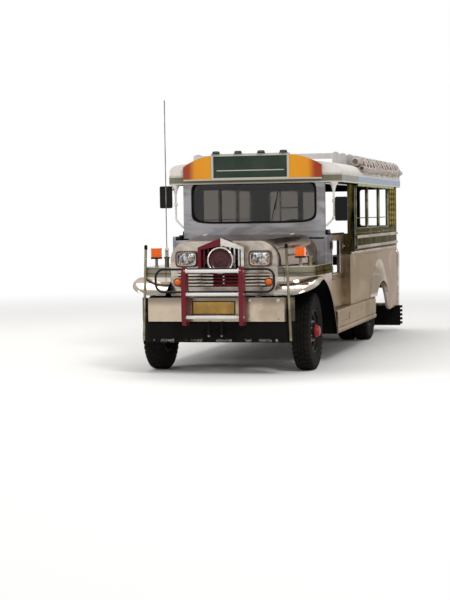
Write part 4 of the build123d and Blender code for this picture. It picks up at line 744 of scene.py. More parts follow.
def tube(points, radius, sides=10, closed=False, smooth=True):
    # a bent round bar; the corners are drawn smooth
    clearSelection()
    curve = bpy.data.curves.new("bar", "CURVE")
    curve.dimensions = "3D"
    spline = curve.splines.new("NURBS" if smooth else "POLY")
    spline.points.add(len(points) - 1)
    for point, spot in zip(spline.points, points):
        point.co = (*spot, 1)
    if smooth:
        spline.order_u = 3
        spline.use_endpoint_u = not closed
        spline.resolution_u = 6
    spline.use_cyclic_u = closed
    curve.bevel_depth = radius
    curve.bevel_resolution = max(1, sides // 4 - 1)
    curve.use_fill_caps = not closed
    piece = bpy.data.objects.new("bar", curve)
    bpy.context.collection.objects.link(piece)
    pick(piece)
    bpy.ops.object.convert(target="MESH")
    return bpy.context.object


def copyOf(piece, shift=(0, 0, 0)):
    pick(piece)
    bpy.ops.object.duplicate()
    twin = bpy.context.object
    twin.location = shift
    bpy.ops.object.transform_apply(location=True, rotation=True, scale=True)
    return twin


def acrossCopy(piece):
    # the same piece on the other side of the vehicle
    pick(piece)
    bpy.ops.object.duplicate()
    twin = bpy.context.object
    twin.scale = (-1, 1, 1)
    bpy.ops.object.transform_apply(location=True, rotation=True, scale=True)
    bpy.ops.object.mode_set(mode="EDIT")
    bpy.ops.mesh.select_all(action="SELECT")
    bpy.ops.mesh.normals_make_consistent(inside=False)
    bpy.ops.object.mode_set(mode="OBJECT")
    return twin


def together(pieces):
    clearSelection()
    for piece in pieces:
        piece.select_set(True)
    bpy.context.view_layer.objects.active = pieces[0]
    if len(pieces) > 1:
        bpy.ops.object.join()
    return bpy.context.object


def complete(pieces, name, finish, body="body", angle=35, bothSides=False):
    # joins the parts of a piece, smooths it, gives it its finish and lets it ride
    piece = together(pieces if isinstance(pieces, list) else [pieces])
    if bothSides:
        modify(piece, "MIRROR", use_axis=(True, False, False), use_mirror_merge=False)
    pick(piece)
    bpy.ops.object.shade_smooth_by_angle(angle=math.radians(angle))
    piece.name = name
    piece.data.name = name
    piece.data.materials.clear()
    piece.data.materials.append(finishes[finish])
    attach(piece, body)
    return piece


def selectFaces(piece, choose):
    # picks faces in edit mode; choose gets a face's middle and normal
    pick(piece)
    bpy.ops.object.mode_set(mode="EDIT")
    bpy.ops.mesh.select_mode(type="FACE")
    bpy.ops.mesh.select_all(action="DESELECT")
    bpy.ops.object.mode_set(mode="OBJECT")
    for polygon in piece.data.polygons:
        polygon.select = choose(polygon.center, polygon.normal)
    bpy.ops.object.mode_set(mode="EDIT")


def pushFaces(piece, choose, distance):
    # draws the chosen faces out along their own normals
    selectFaces(piece, choose)
    bpy.ops.mesh.extrude_region_shrink_fatten(TRANSFORM_OT_shrink_fatten={"value": distance})
    bpy.ops.mesh.select_mode(type="VERT")
    bpy.ops.object.mode_set(mode="OBJECT")
    return piece


def paintFaces(node, finish, choose):
    # gives some faces of a CAD node a second finish; its shape is left alone
    piece = nodes[node]
    piece.data.materials.append(finishes[finish])
    slot = len(piece.data.materials) - 1
    for polygon in piece.data.polygons:
        if choose(polygon.center, polygon.normal):
            polygon.material_index = slot


# tyres with a lugged tread, wheel nuts, front hub caps and rear flanges
wheelSizes = {
    "frontAxle": -2.45, "rearAxle": 1.48, "axleHeight": 0.39, "frontX": 0.759, "rearX": (0.5, 0.7),
    "lugDepth": 0.0078, "segments": 120, "nuts": 8, "nutRing": 0.1, "studs": 6, "studRing": 0.048,
    # how far the nuts, the front cap and the rear flange stand out from the middle of the outer tyre
    "nutOut": {"front": 0.032, "rear": -0.008}, "capOut": 0.094, "flangeOut": 0.036,
}
# distance from the middle plane, radius
tyreProfile = [
    (-0.066, 0.2165), (-0.0795, 0.2215), (-0.0815, 0.229), (-0.0785, 0.2345), (-0.084, 0.244),
    (-0.0885, 0.266), (-0.0892, 0.282), (-0.0905, 0.285), (-0.0905, 0.29), (-0.0888, 0.2935), (-0.0882, 0.31),
    (-0.0872, 0.331), (-0.0868, 0.346), (-0.0825, 0.362), (-0.0755, 0.3735), (-0.064, 0.3805),
    (-0.0335, 0.3818), (-0.0325, 0.3745), (-0.0275, 0.3745), (-0.0265, 0.3822), (-0.0045, 0.3824),
    (-0.0035, 0.3755),
]
# height above the hub, radius
nutProfile = [
    (0, 0.0165), (0.004, 0.0165), (0.004, 0.0118), (0.019, 0.0118), (0.021, 0.0095), (0.022, 0.0068),
    (0.03, 0.0066), (0.032, 0.005),
]
capProfile = [
    (-0.012, 0.064), (0.0, 0.064), (0.003, 0.061), (0.005, 0.056), (0.02, 0.054), (0.03, 0.048),
    (0.036, 0.036), (0.038, 0.016),
]
flangeProfile = [
    (-0.02, 0.062), (0.006, 0.062), (0.009, 0.059), (0.009, 0.036), (0.02, 0.034), (0.024, 0.03),
    (0.025, 0.012),
]


def makeTyre(settings):
    rows = tyreProfile + [(-along, radius) for along, radius in reversed(tyreProfile)]
    tyre = roundStack(rows + [rows[0]], settings["segments"])
    pitch = 2 * math.pi / settings["segments"]

    def lug(middle, normal):
        radius = math.hypot(middle.x, middle.y)
        station = int((math.atan2(middle.y, middle.x) + math.pi) / pitch)
        if normal.x * middle.x + normal.y * middle.y < 0.25 * radius:
            return False
        if abs(middle.z) > 0.034 and 0.365 < radius < 0.383:
            return (station + (1 if middle.z > 0 else 0)) % 3 != 0
        return radius > 0.3785 and abs(middle.z) < 0.0265 and (station + (1 if middle.z > 0 else 0)) % 4 != 0

    pushFaces(tyre, lug, settings["lugDepth"])
    return tyre


def makeWheels(settings):
    first = makeTyre(settings)
    front, rear = settings["frontAxle"], settings["rearAxle"]
    height = settings["axleHeight"]
    rows = [
        ("front_left", front, (settings["frontX"],)), ("front_right", front, (-settings["frontX"],)),
        ("rear_left", rear, settings["rearX"]), ("rear_right", rear, [-x for x in settings["rearX"]]),
    ]
    for name, along, spots in rows:
        tyres = [place(copyOf(first), (spot, along, height), facing["left"]) for spot in spots]
        piece = complete(tyres, "tread_" + name, "tyre", "wheel_" + name, 30)
        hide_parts("tyre_" + name)
    bpy.data.objects.remove(first)

    # front hubs: nuts with their washers and a domed cap; rear hubs: nuts and a flanged axle end with studs
    for name, along, spots in rows:
        side = 1 if spots[0] > 0 else -1
        axle = name.split("_")[0]
        outer = max(abs(x) for x in spots)
        turn = facing["left" if side > 0 else "right"]
        nuts = []
        for step in range(settings["nuts"]):
            angle = 2 * math.pi * (step + 0.5) / settings["nuts"]
            nut = roundStack(nutProfile, 6)
            spot = (settings["nutRing"] * math.cos(angle), settings["nutRing"] * math.sin(angle), 0)
            nuts.append(place(nut, spot, (0, 0, math.degrees(0.4 * step))))
        nutSet = place(together(nuts), (side * (outer + settings["nutOut"][axle]), along, height), turn)
        complete(nutSet, "wheel_nuts_" + name, "zinc", "wheel_" + name, 20)
        if axle == "front":
            cap = place(roundStack(capProfile, 40), (side * (outer + settings["capOut"]), along, height),
                        turn)
            complete(cap, "hub_cap_" + name, "hubRed", "wheel_" + name, 30)
            continue
        hub = [roundStack(flangeProfile, 32)]
        for step in range(settings["studs"]):
            angle = 2 * math.pi * step / settings["studs"]
            spot = (settings["studRing"] * math.cos(angle), settings["studRing"] * math.sin(angle), 0.006)
            hub.append(place(roundStack([(0.0, 0.0075), (0.014, 0.0075), (0.016, 0.0055)], 6), spot))
        flange = place(together(hub), (side * (outer + settings["flangeOut"]), along, height), turn)
        complete(flange, "hub_flange_" + name, "wheelBlack", "wheel_" + name, 30)
    print("wheels done")


makeWheels(wheelSizes)


# headlamps: a rounded bezel, a bright retaining ring and a fluted lens
headlampSizes = {
    "middle": (0.373, 1.129), "halfWide": 0.112, "halfHigh": 0.08, "square": 4.6,
    "bezelFace": -2.8593, "lensFace": -2.849,
}


def makeHeadlamps(settings):
    across, up = settings["middle"]
    wide, high, square = settings["halfWide"], settings["halfHigh"], settings["square"]
    ring = [(0.0, 0.0), (0.009, 0.0), (0.0135, 0.0035), (0.0135, 0.0105), (0.010, 0.0145), (0.0, 0.0145),
            (0.0, 0.0)]
    bezel = ringStack([(lift, wide - inset, high - inset) for lift, inset in ring], 64, square)
    place(bezel, (across, settings["bezelFace"], up), facing["front"])
    complete(bezel, "headlamp_bezels", "bezelBrown", bothSides=True)
    ring = [(0.0, 0.0), (0.012, 0.0), (0.0155, 0.002), (0.0155, 0.0065), (0.013, 0.0085), (0.0, 0.0085),
            (0.0, 0.0)]
    rim = ringStack([(lift, wide - 0.0135 - inset, high - 0.0135 - inset) for lift, inset in ring], 64,
                    square)
    place(rim, (across, settings["lensFace"], up), facing["front"])
    complete(rim, "headlamp_rings", "chrome", bothSides=True)
    dome = [(0.0, 0.0225), (0.005, 0.0225), (0.0085, 0.027), (0.0125, 0.04), (0.015, 0.055), (0.0158, 0.07)]
    lens = ringStack([(lift, wide - inset, high - inset) for lift, inset in dome], 64, square)
    place(lens, (across, settings["lensFace"], up), facing["front"])
    complete(lens, "headlamp_lenses", "lampGlass", angle=50, bothSides=True)
    print("headlamps done")


makeHeadlamps(headlampSizes)

# amber lamps: domes low on the nose, ribbed boxes on the fender posts with a black foot
amberSizes = {
    "low": (0.463, 0.9), "lowFace": -2.8733, "post": (0.74, -2.657, 1.184), "postHalf": (0.046, 0.035, 0.048),
    "ribs": 7, "nutFoot": 1.0485,
}


def makeAmberLamps(settings):
    across, up = settings["low"]
    face = settings["lowFace"]
    dome = roundStack([(0, 0.033), (0.004, 0.033), (0.009, 0.03), (0.0145, 0.022), (0.0175, 0.011),
                       (0.018, 0.004)], 40)
    place(dome, (across, face, up), facing["front"])
    complete(dome, "low_amber_lenses", "amber", angle=50, bothSides=True)
    rim = roundStack([(-0.006, 0.0425), (0.004, 0.0425), (0.0065, 0.04), (0.0065, 0.0345), (0.004, 0.0328),
                      (-0.006, 0.0328), (-0.006, 0.0425)], 40)
    place(rim, (across, face, up), facing["front"])
    complete(rim, "low_amber_rims", "bezelBrown", bothSides=True)
    x, y, z = settings["post"]
    wide, deep, high = settings["postHalf"]
    ribs = []
    for step in range(settings["ribs"]):
        spot = x - wide + 0.01 + step * (2 * wide - 0.02) / (settings["ribs"] - 1)
        for side in (-1, 1):
            rib = block((spot - 0.0035, y + side * deep - 0.003, z - high + 0.012),
                        (spot + 0.0035, y + side * deep + 0.003, z + high - 0.008), 0.0015)
            ribs.append(rib)
    cap = block((x - wide - 0.003, y - deep - 0.003, z + high - 0.006),
                (x + wide + 0.003, y + deep + 0.003, z + high + 0.004), 0.003)
    complete(together(ribs + [cap]), "post_lamp_ribs", "amber", bothSides=True)
    foot = block((x - wide - 0.004, y - deep - 0.004, z - high - 0.008),
                 (x + wide + 0.004, y + deep + 0.004, z - high + 0.01), 0.004)
    nut = roundStack([(0, 0.021), (0.012, 0.021), (0.014, 0.018), (0.014, 0.0145), (0, 0.0145),
                      (0, 0.021)], 6)
    place(nut, (x, y, settings["nutFoot"]))
    complete(foot, "post_lamp_feet", "blackPlastic", bothSides=True)
    complete(nut, "post_nuts", "zinc", bothSides=True)
    print("amber lamps done")


makeAmberLamps(amberSizes)

# grille: a bright bead and a bare dished disc in the ring, and wide bright covers on the level slats
grilleSizes = {
    "ring": (1.116, 0.124), "ringFace": -2.961, "discFace": -2.9362, "slatFoot": 0.872, "slatPitch": 0.033,
    "slatEnds": (-0.497, -0.1, 0.16, 0.497), "slatFace": -2.849, "slats": 4,
}


def makeGrille(settings):
    up, radius = settings["ring"]
    bead = roundStack([(-0.006, radius - 0.009), (-0.006, radius + 0.0095), (0.002, radius + 0.0095),
                       (0.008, radius + 0.006), (0.0105, radius), (0.008, radius - 0.006),
                       (0.002, radius - 0.009), (-0.006, radius - 0.009)], 72)
    place(bead, (0, settings["ringFace"], up), facing["front"])
    complete(bead, "ring_bead", "chrome", angle=60)
    disc = roundStack([(0.0, 0.115), (0.003, 0.115), (0.0105, 0.111), (0.0125, 0.106), (0.0105, 0.101),
                       (0.004, 0.095), (0.0025, 0.08), (0.0045, 0.064), (0.0085, 0.05), (0.0105, 0.046),
                       (0.0085, 0.042), (0.0065, 0.036), (0.0085, 0.028), (0.0125, 0.02), (0.0145, 0.01)], 72)
    place(disc, (0, settings["discFace"], up), facing["front"])
    complete(disc, "ring_disc", "ringRed", angle=60)
    covers = {"slat_covers": [], "slat_covers_red": []}
    face, ends = settings["slatFace"], settings["slatEnds"]
    for step in range(settings["slats"]):
        z = settings["slatFoot"] + step * settings["slatPitch"]
        for name, start, end in zip(("slat_covers", "slat_covers_red", "slat_covers"), ends, ends[1:]):
            cover = block((start, face - 0.009, z - 0.0115), (end, face + 0.004, z + 0.0115), 0.0055, 3)
            covers[name].append(cover)
    complete(covers["slat_covers"], "slat_covers", "noseMetal", angle=50)
    complete(covers["slat_covers_red"], "slat_covers_red", "crimson", angle=50)
    print("grille done")


makeGrille(grilleSizes)

# bumper: a bare plate in its frame, and bolts
bumperSizes = {
    "face": -3.178, "plate": (-0.232, 0.197, 0.598, 0.731), "boltRows": (0.56, 0.735), "boltX": (0.34, 0.62),
}


def boltHead(radius=0.011, height=0.007):
    return ringStack([(0, radius * 1.5, radius * 1.5), (0.0018, radius * 1.5, radius * 1.5),
                      (0.0018, radius, radius), (height, radius, radius),
                      (height + 0.001, radius * 0.8, radius * 0.8)], 6)


def makeBumper(settings):
    low, high, foot, top = settings["plate"]
    face = settings["face"]
    frame = [
        block((low, face - 0.008, foot), (high, face - 0.0005, foot + 0.009), 0.002),
        block((low, face - 0.008, top - 0.009), (high, face - 0.0005, top), 0.002),
        block((low, face - 0.0078, foot + 0.004), (low + 0.009, face - 0.0005, top - 0.004), 0.002),
        block((high - 0.009, face - 0.0078, foot + 0.004), (high, face - 0.0005, top - 0.004), 0.002),
    ]
    complete(frame, "plate_frame", "blackPlastic")
    sheet = block((low + 0.007, face - 0.0045, foot + 0.007), (high - 0.007, face - 0.001, top - 0.007),
                  0.0012)
    selectFaces(sheet, lambda middle, normal: normal.y < -0.9)
    bpy.ops.mesh.inset(thickness=0.006, depth=-0.0012)
    bpy.ops.object.mode_set(mode="OBJECT")
    complete(sheet, "blank_plate", "plateGold")
    bolts = []
    for x in settings["boltX"]:
        for z in settings["boltRows"]:
            bolts.append(place(boltHead(), (x, face, z), facing["front"]))
    for x in (low + 0.05, high - 0.05):
        bolts.append(place(boltHead(0.006, 0.005), (x, face - 0.004, (foot + top) / 2 + 0.045),
                           facing["front"]))
    complete(bolts, "bumper_bolts", "zinc", angle=20)
    print("bumper done")


makeBumper(bumperSizes)

# bull bar: round end collars on the level tubes and bolts through the uprights
barSizes = {"x": 0.284, "halfWide": 0.021, "y": -3.288, "levels": (0.578, 0.799, 1.022), "radius": 0.017}


def makeBarTrim(settings):
    collars = []
    for z in settings["levels"]:
        collar = roundStack([(0, 0.0185), (0.0, 0.024), (0.012, 0.024), (0.015, 0.021), (0.015, 0.0172),
                             (0, 0.0172), (0, 0.0185)], 24)
        spot = settings["x"] - settings["halfWide"]
        collars.append(place(collar, (spot + 0.0002, settings["y"], z), facing["right"]))
        bolt = boltHead(0.009, 0.006)
        collars.append(place(bolt, (settings["x"] + settings["halfWide"], settings["y"] + 0.01, z),
                             facing["left"]))
    complete(collars, "bar_collars", "chrome", bothSides=True)
    print("bull bar done")


makeBarTrim(barSizes)

# apron: a hem and a worn pale fringe along its foot
apronSizes = {"face": -3.161, "foot": 0.327, "half": 0.672, "strands": 190}


def makeApronFringe(settings):
    face, foot = settings["face"], settings["foot"]
    hem = block((-settings["half"], face - 0.006, foot), (settings["half"], face + 0.003, foot + 0.022),
                0.003)
    complete(hem, "apron_hem", "rubber")
    chance = random.Random(4)
    strands = []
    for step in range(settings["strands"]):
        x = -settings["half"] + 0.012 + step * (2 * settings["half"] - 0.024) / (settings["strands"] - 1)
        if noise.noise(Vector((x * 7.0, 0.0, 0.0))) + 0.5 * noise.noise(Vector((x * 31.0, 5.0, 0.0))) < 0.02:
            continue
        drop = chance.uniform(0.004, 0.026)
        lean = chance.uniform(-0.006, 0.006)
        half = chance.uniform(0.0018, 0.0042)
        strand = block((x - half, face - 0.0088, foot + 0.022 - drop),
                       (x + half, face - 0.0056, foot + 0.024 + chance.uniform(0, 0.012)), 0)
        for vertex in strand.data.vertices:
            if vertex.co.z < foot + 0.01:
                vertex.co.x = x + lean + (vertex.co.x - x) * 0.5
        strands.append(strand)
    complete(strands, "apron_fringe", "fringe", angle=10)
    print("apron done")


makeApronFringe(apronSizes)


# sign: four marker lamps on its top edge
signSizes = {
    "top": 2.2072, "lampX": (-0.365, -0.125, 0.125, 0.365), "lampY": -1.63, "lampHalf": (0.04, 0.017),
}


def makeSignLamps(settings):
    lamps, feet = [], []
    wide, deep = settings["lampHalf"]
    for x in settings["lampX"]:
        lamp = ringStack([(0.006, wide, deep), (0.016, wide, deep), (0.024, wide * 0.93, deep * 0.85),
                          (0.029, wide * 0.75, deep * 0.5), (0.0305, wide * 0.4, deep * 0.2)], 24, 3)
        lamps.append(place(lamp, (x, settings["lampY"], settings["top"])))
        foot = ringStack([(0, wide + 0.004, deep + 0.004), (0.006, wide + 0.004, deep + 0.004),
                          (0.008, wide + 0.001, deep + 0.001)], 24, 3)
        feet.append(place(foot, (x, settings["lampY"], settings["top"])))
    complete(lamps, "marker_lenses", "markerGreen", angle=50)
    complete(feet, "marker_feet", "blackPlastic")
    print("sign lamps done")


makeSignLamps(signSizes)

# windscreen: black rubber gasket, tinted band under the top edge and a wiper
screenSizes = {
    "middle": 1.7, "halfWide": 0.678, "halfHigh": 0.2265, "face": -1.482, "square": 7,
    "wiperX": 0.199, "wiperFootZ": 1.478, "band": (0.648, 1.826, 1.902),
}


def makeWindscreen(settings):
    wide, high, square = settings["halfWide"], settings["halfHigh"], settings["square"]
    face = settings["face"]
    ring = [(0.0, 0.0), (0.006, 0.0), (0.0105, 0.004), (0.012, 0.010), (0.0105, 0.016), (0.006, 0.0215),
            (-0.004, 0.0215), (-0.004, 0.0), (0.0, 0.0)]
    gasket = ringStack([(lift, wide + 0.006 - inset, high + 0.006 - inset) for lift, inset in ring], 96,
                       square)
    place(gasket, (0, face, settings["middle"]), facing["front"])
    complete(gasket, "screen_gasket", "rubber", angle=50)
    reach, foot, top = settings["band"]
    band = block((-reach, face + 0.0085, foot), (reach, face + 0.0115, top), 0.001)
    complete(band, "tint_band", "tint")
    x, z = settings["wiperX"], settings["wiperFootZ"]
    pivot = roundStack([(0, 0.013), (0.012, 0.013), (0.016, 0.01), (0.018, 0.004)], 16)
    place(pivot, (x, face - 0.003, z), facing["front"])
    arm = tube([(x, face - 0.016, z), (x + 0.025, face - 0.026, z + 0.13),
                (x + 0.055, face - 0.02, z + 0.24)],
               0.0038, 8)
    blade = tube([(x + 0.035, face - 0.013, z + 0.13), (x + 0.055, face - 0.014, z + 0.235),
                  (x + 0.074, face - 0.013, z + 0.335)], 0.0048, 8)
    complete([pivot, arm, blade], "wiper", "blackPlastic", angle=50)
    print("windscreen done")


makeWindscreen(screenSizes)

# mirrors: silvered glass facing the cab, clamps and flared bow tops
mirrorSizes = {
    "rows": ((1, 0.95, 1.482, 1.736), (-1, 0.966, 1.642, 1.88)), "bowX": 0.865, "bowY": -1.455,
    "glassHalf": 0.06, "flareZ": 1.806,
}


def makeMirrors(settings):
    flares, glasses, clamps = [], [], []
    bowY = settings["bowY"]
    for side, centre, low, high in settings["rows"]:
        up = (low + high) / 2
        wide, tall = settings["glassHalf"], (high - low) / 2 - 0.008
        glass = ringStack([(0, wide, tall), (0.002, wide, tall), (0.003, wide - 0.002, tall - 0.002)], 48, 6)
        glasses.append(place(glass, (side * centre, bowY - 0.0095, up), facing["rear"]))
        clamps.append(block((side * settings["bowX"] - 0.017, bowY - 0.017, high - 0.055),
                            (side * settings["bowX"] + 0.017, bowY + 0.017, high - 0.025), 0.004))
        clamps.append(block((side * settings["bowX"] - 0.017, bowY - 0.017, low + 0.025),
                            (side * settings["bowX"] + 0.017, bowY + 0.017, low + 0.05), 0.004))
        flare = roundStack([(-0.012, 0.0125), (0.0, 0.0165), (0.02, 0.019), (0.05, 0.03), (0.085, 0.052),
                            (0.088, 0.052), (0.086, 0.046), (0.05, 0.024), (0.03, 0.0128)], 24)
        flares.append(place(flare, (side * settings["bowX"], bowY, settings["flareZ"])))
    complete(glasses, "mirror_glasses", "mirrorGlass")
    complete(clamps, "mirror_clamps", "chrome")
    complete(flares, "mirror_bow_flares", "tubeWhite", angle=50)
    print("mirrors done")


makeMirrors(mirrorSizes)

# rolled tarpaulins: a tied roll by the rack, a looser fold on the roof's shoulder and ropes over both
rollSizes = {
    "roll": {"radius": 0.05, "front": -0.15, "rear": 3.124, "stations": 240, "around": 52, "crumple": 1.0},
    "fold": {"radius": 0.036, "front": -0.13, "rear": 3.1, "stations": 200, "around": 40, "crumple": 1.5},
    "rollMiddle": (0.8799, 2.1407), "shoulder": (0.815, 1.9616), "shoulderRadius": 0.14, "ties": 9,
    "ropes": 13, "ropePitch": 0.235,
}


def crumpledRoll(settings, pitch, middle, seed):
    # a closed sausage along y; the ties nip it in, the cloth bulges between them and both ends are hollow
    length = settings["rear"] - settings["front"]
    clearSelection()
    bpy.ops.mesh.primitive_cylinder_add(vertices=settings["around"], radius=settings["radius"], depth=length)
    roll = bpy.context.object
    bpy.ops.object.mode_set(mode="EDIT")
    for step in range(1, settings["stations"]):
        bpy.ops.mesh.select_all(action="SELECT")
        cut = length * (step / settings["stations"] - 0.5)
        bpy.ops.mesh.bisect(plane_co=(0, 0, cut), plane_no=(0, 0, 1))
    bpy.ops.object.mode_set(mode="OBJECT")
    for end in (-1, 1):
        selectFaces(roll, lambda spot, normal: abs(spot.z - end * length / 2) < 0.001 and abs(normal.z) > 0.9)
        bpy.ops.mesh.inset(thickness=settings["radius"] * 0.16, depth=0)
        bpy.ops.mesh.inset(thickness=settings["radius"] * 0.14, depth=-0.04)
        bpy.ops.mesh.inset(thickness=settings["radius"] * 0.16, depth=-0.02)
        bpy.ops.object.mode_set(mode="OBJECT")
    place(roll, (0, 0, 0), (-90, 0, 0))
    rough = settings["crumple"]
    for vertex in roll.data.vertices:
        angle = math.atan2(vertex.co.z, vertex.co.x)
        along = vertex.co.y + length / 2
        share = math.hypot(vertex.co.x, vertex.co.z) / settings["radius"]
        drift = noise.noise(Vector((along * 0.8, seed, 0))) * 1.5
        nip = max(0.0, math.cos(2 * math.pi * along / pitch + drift))
        tight = nip ** 8
        spot = Vector((math.cos(angle) * 0.9, math.sin(angle) * 0.9, along * 3.1 + seed))
        crumple = sum(noise.noise(spot * pace) * deep for pace, deep in ((1.7, 0.5), (4.3, 0.32), (9.1, 0.2)))
        pleat = noise.noise(Vector((angle * 2.6, along * 0.9, seed)))
        bulge = 0.97 + 0.07 * noise.noise(Vector((along * 2.2, seed, 4))) - 0.17 * tight
        radius = settings["radius"] * bulge + (crumple * 0.011 + pleat * 0.007) * rough * (1 - 0.6 * tight)
        radius = min(radius, settings["radius"] * 1.25) * share
        y = vertex.co.y + (settings["front"] + settings["rear"]) / 2
        across, up = middle(y)
        vertex.co = (across + math.cos(angle) * radius, y, up + math.sin(angle) * radius)
    return roll


def makeRolls(settings):
    across, up = settings["rollMiddle"]
    pitch = (settings["roll"]["rear"] - settings["roll"]["front"]) / settings["ties"]

    def rollMiddle(y):
        return across + 0.004 * noise.noise(Vector((y * 1.3, 2, 0))), up

    def foldMiddle(y):
        lean = math.radians(36 + 20 * noise.noise(Vector((y * 0.9, 6, 0))))
        reach = settings["shoulderRadius"] + settings["fold"]["radius"] - 0.004
        x, z = settings["shoulder"]
        return x + reach * math.cos(lean), z + reach * math.sin(lean)

    for label, middle, spacing, seed in (("roll", rollMiddle, pitch, 7), ("fold", foldMiddle, 0.47, 19)):
        left = crumpledRoll(settings[label], spacing, middle, seed)
        right = acrossCopy(left)
        for piece, side in ((left, "left"), (right, "right")):
            complete(piece, "tarpaulin_" + label + "_" + side, "tarp", angle=60)
    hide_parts("side_curtains")
    ties = []
    for step in range(1, settings["ties"]):
        y = settings["roll"]["front"] + step * pitch
        band = roundStack([(-0.011, 0.0475), (0.011, 0.0475), (0.011, 0.0505), (-0.011, 0.0505),
                           (-0.011, 0.0475)], 40)
        ties.append(place(band, (across, y, up), facing["front"]))
        ties.append(block((across + 0.02, y - 0.012, up + 0.043), (across + 0.04, y + 0.012, up + 0.054),
                          0.004))
    complete(ties, "roll_ties", "rope", bothSides=True)
    ropes = []
    for step in range(settings["ropes"]):
        y = settings["fold"]["front"] + 0.12 + step * settings["ropePitch"]
        lean = 0.08 if step % 2 else -0.08
        path = [(0.953, 1.996), (0.997, 2.06), (0.978, 2.13), (0.93, 2.2), (0.85, 2.21), (0.784, 2.232)]
        points = [(x, y + lean * share * (0.6 + 0.4 * math.sin(step * 2.1)), z)
                  for (x, z), share in zip(path, (-1, -0.5, 0, 0.3, 0.7, 1))]
        ropes.append(tube(points, 0.0045, 8))
    complete(ropes, "roof_ropes", "tubeWhite", angle=60, bothSides=True)
    print("rolls done")


makeRolls(rollSizes)

# roof: standing seams over its crown
roofSizes = {
    "front": -1.46, "rear": 3.15, "seams": 12, "crown": 2.15, "shoulderX": 0.8148, "shoulderZ": 2.1018,
}


def crownHeight(x, settings):
    # the roof's arc over its width
    half, rise = settings["shoulderX"], settings["crown"] - settings["shoulderZ"]
    radius = (half ** 2 + rise ** 2) / (2 * rise)
    return settings["crown"] - radius + math.sqrt(radius ** 2 - x ** 2)


def makeRoof(settings):
    ribs = []
    pitch = (settings["rear"] - settings["front"] - 0.24) / (settings["seams"] - 1)
    for step in range(settings["seams"]):
        y = settings["front"] + 0.12 + step * pitch
        points = []
        for station in range(-4, 5):
            x = settings["shoulderX"] * 0.9 * station / 4
            points.append((x, y, crownHeight(x, settings) - 0.001))
        ribs.append(tube(points, 0.006, 8))
    complete(ribs, "roof_seams", "roofWhite", angle=60)
    print("roof done")


makeRoof(roofSizes)


# sides: window frames, gold lozenges on the rear post, the pale valance and rivet rows
sideSizes = {
    "skin": 0.9, "sill": 1.396, "windowTop": 1.867, "windows": ((-0.228, 0.585), (0.625, 1.49), (1.53, 2.25)),
    "lozengeY": 2.64, "lozengeRows": 7, "lozengePitch": 0.19, "lozengeHalf": (0.0315, 0.085),
    "valance": (-0.32, 2.47, 1.868, 1.9), "valanceX": (0.936, 0.9475),
    "cuts": 160, "rivetRows": ((1.335, -0.3, 2.95), (1.085, -0.3, 2.95), (0.575, -0.62, 0.72)),
    "rivetPitch": 0.09, "archRadius": 0.713, "archY": 1.48,
}


def windowFrame(low, high, foot, top, skin):
    # an aluminium frame round one opening, with a level guard bar near its foot
    rim, proud = 0.014, 0.007
    return [
        block((skin - 0.02, low - rim, foot - rim), (skin + proud, high + rim, foot + 0.003), 0.003),
        block((skin - 0.02, low - rim, top - 0.003), (skin + proud, high + rim, top + rim), 0.003),
        block((skin - 0.02, low - rim, foot - 0.002), (skin + proud - 0.0005, low + 0.003, top + 0.002),
              0.003),
        block((skin - 0.02, high - 0.003, foot - 0.002), (skin + proud - 0.0005, high + rim, top + 0.002),
              0.003),
        tube([(skin - 0.014, low, foot + 0.11), (skin - 0.014, high, foot + 0.11)], 0.006, 8, smooth=False),
    ]


def lozenge(y, z, skin, wide, high):
    # a raised diamond with a sunk middle
    gem = ringStack([(0, wide, high), (0.0035, wide, high), (0.006, wide * 0.86, high * 0.86),
                     (0.006, wide * 0.62, high * 0.62), (0.003, wide * 0.5, high * 0.5),
                     (0.0075, wide * 0.2, high * 0.2)], 4)
    return place(gem, (skin, y, z), facing["left"])


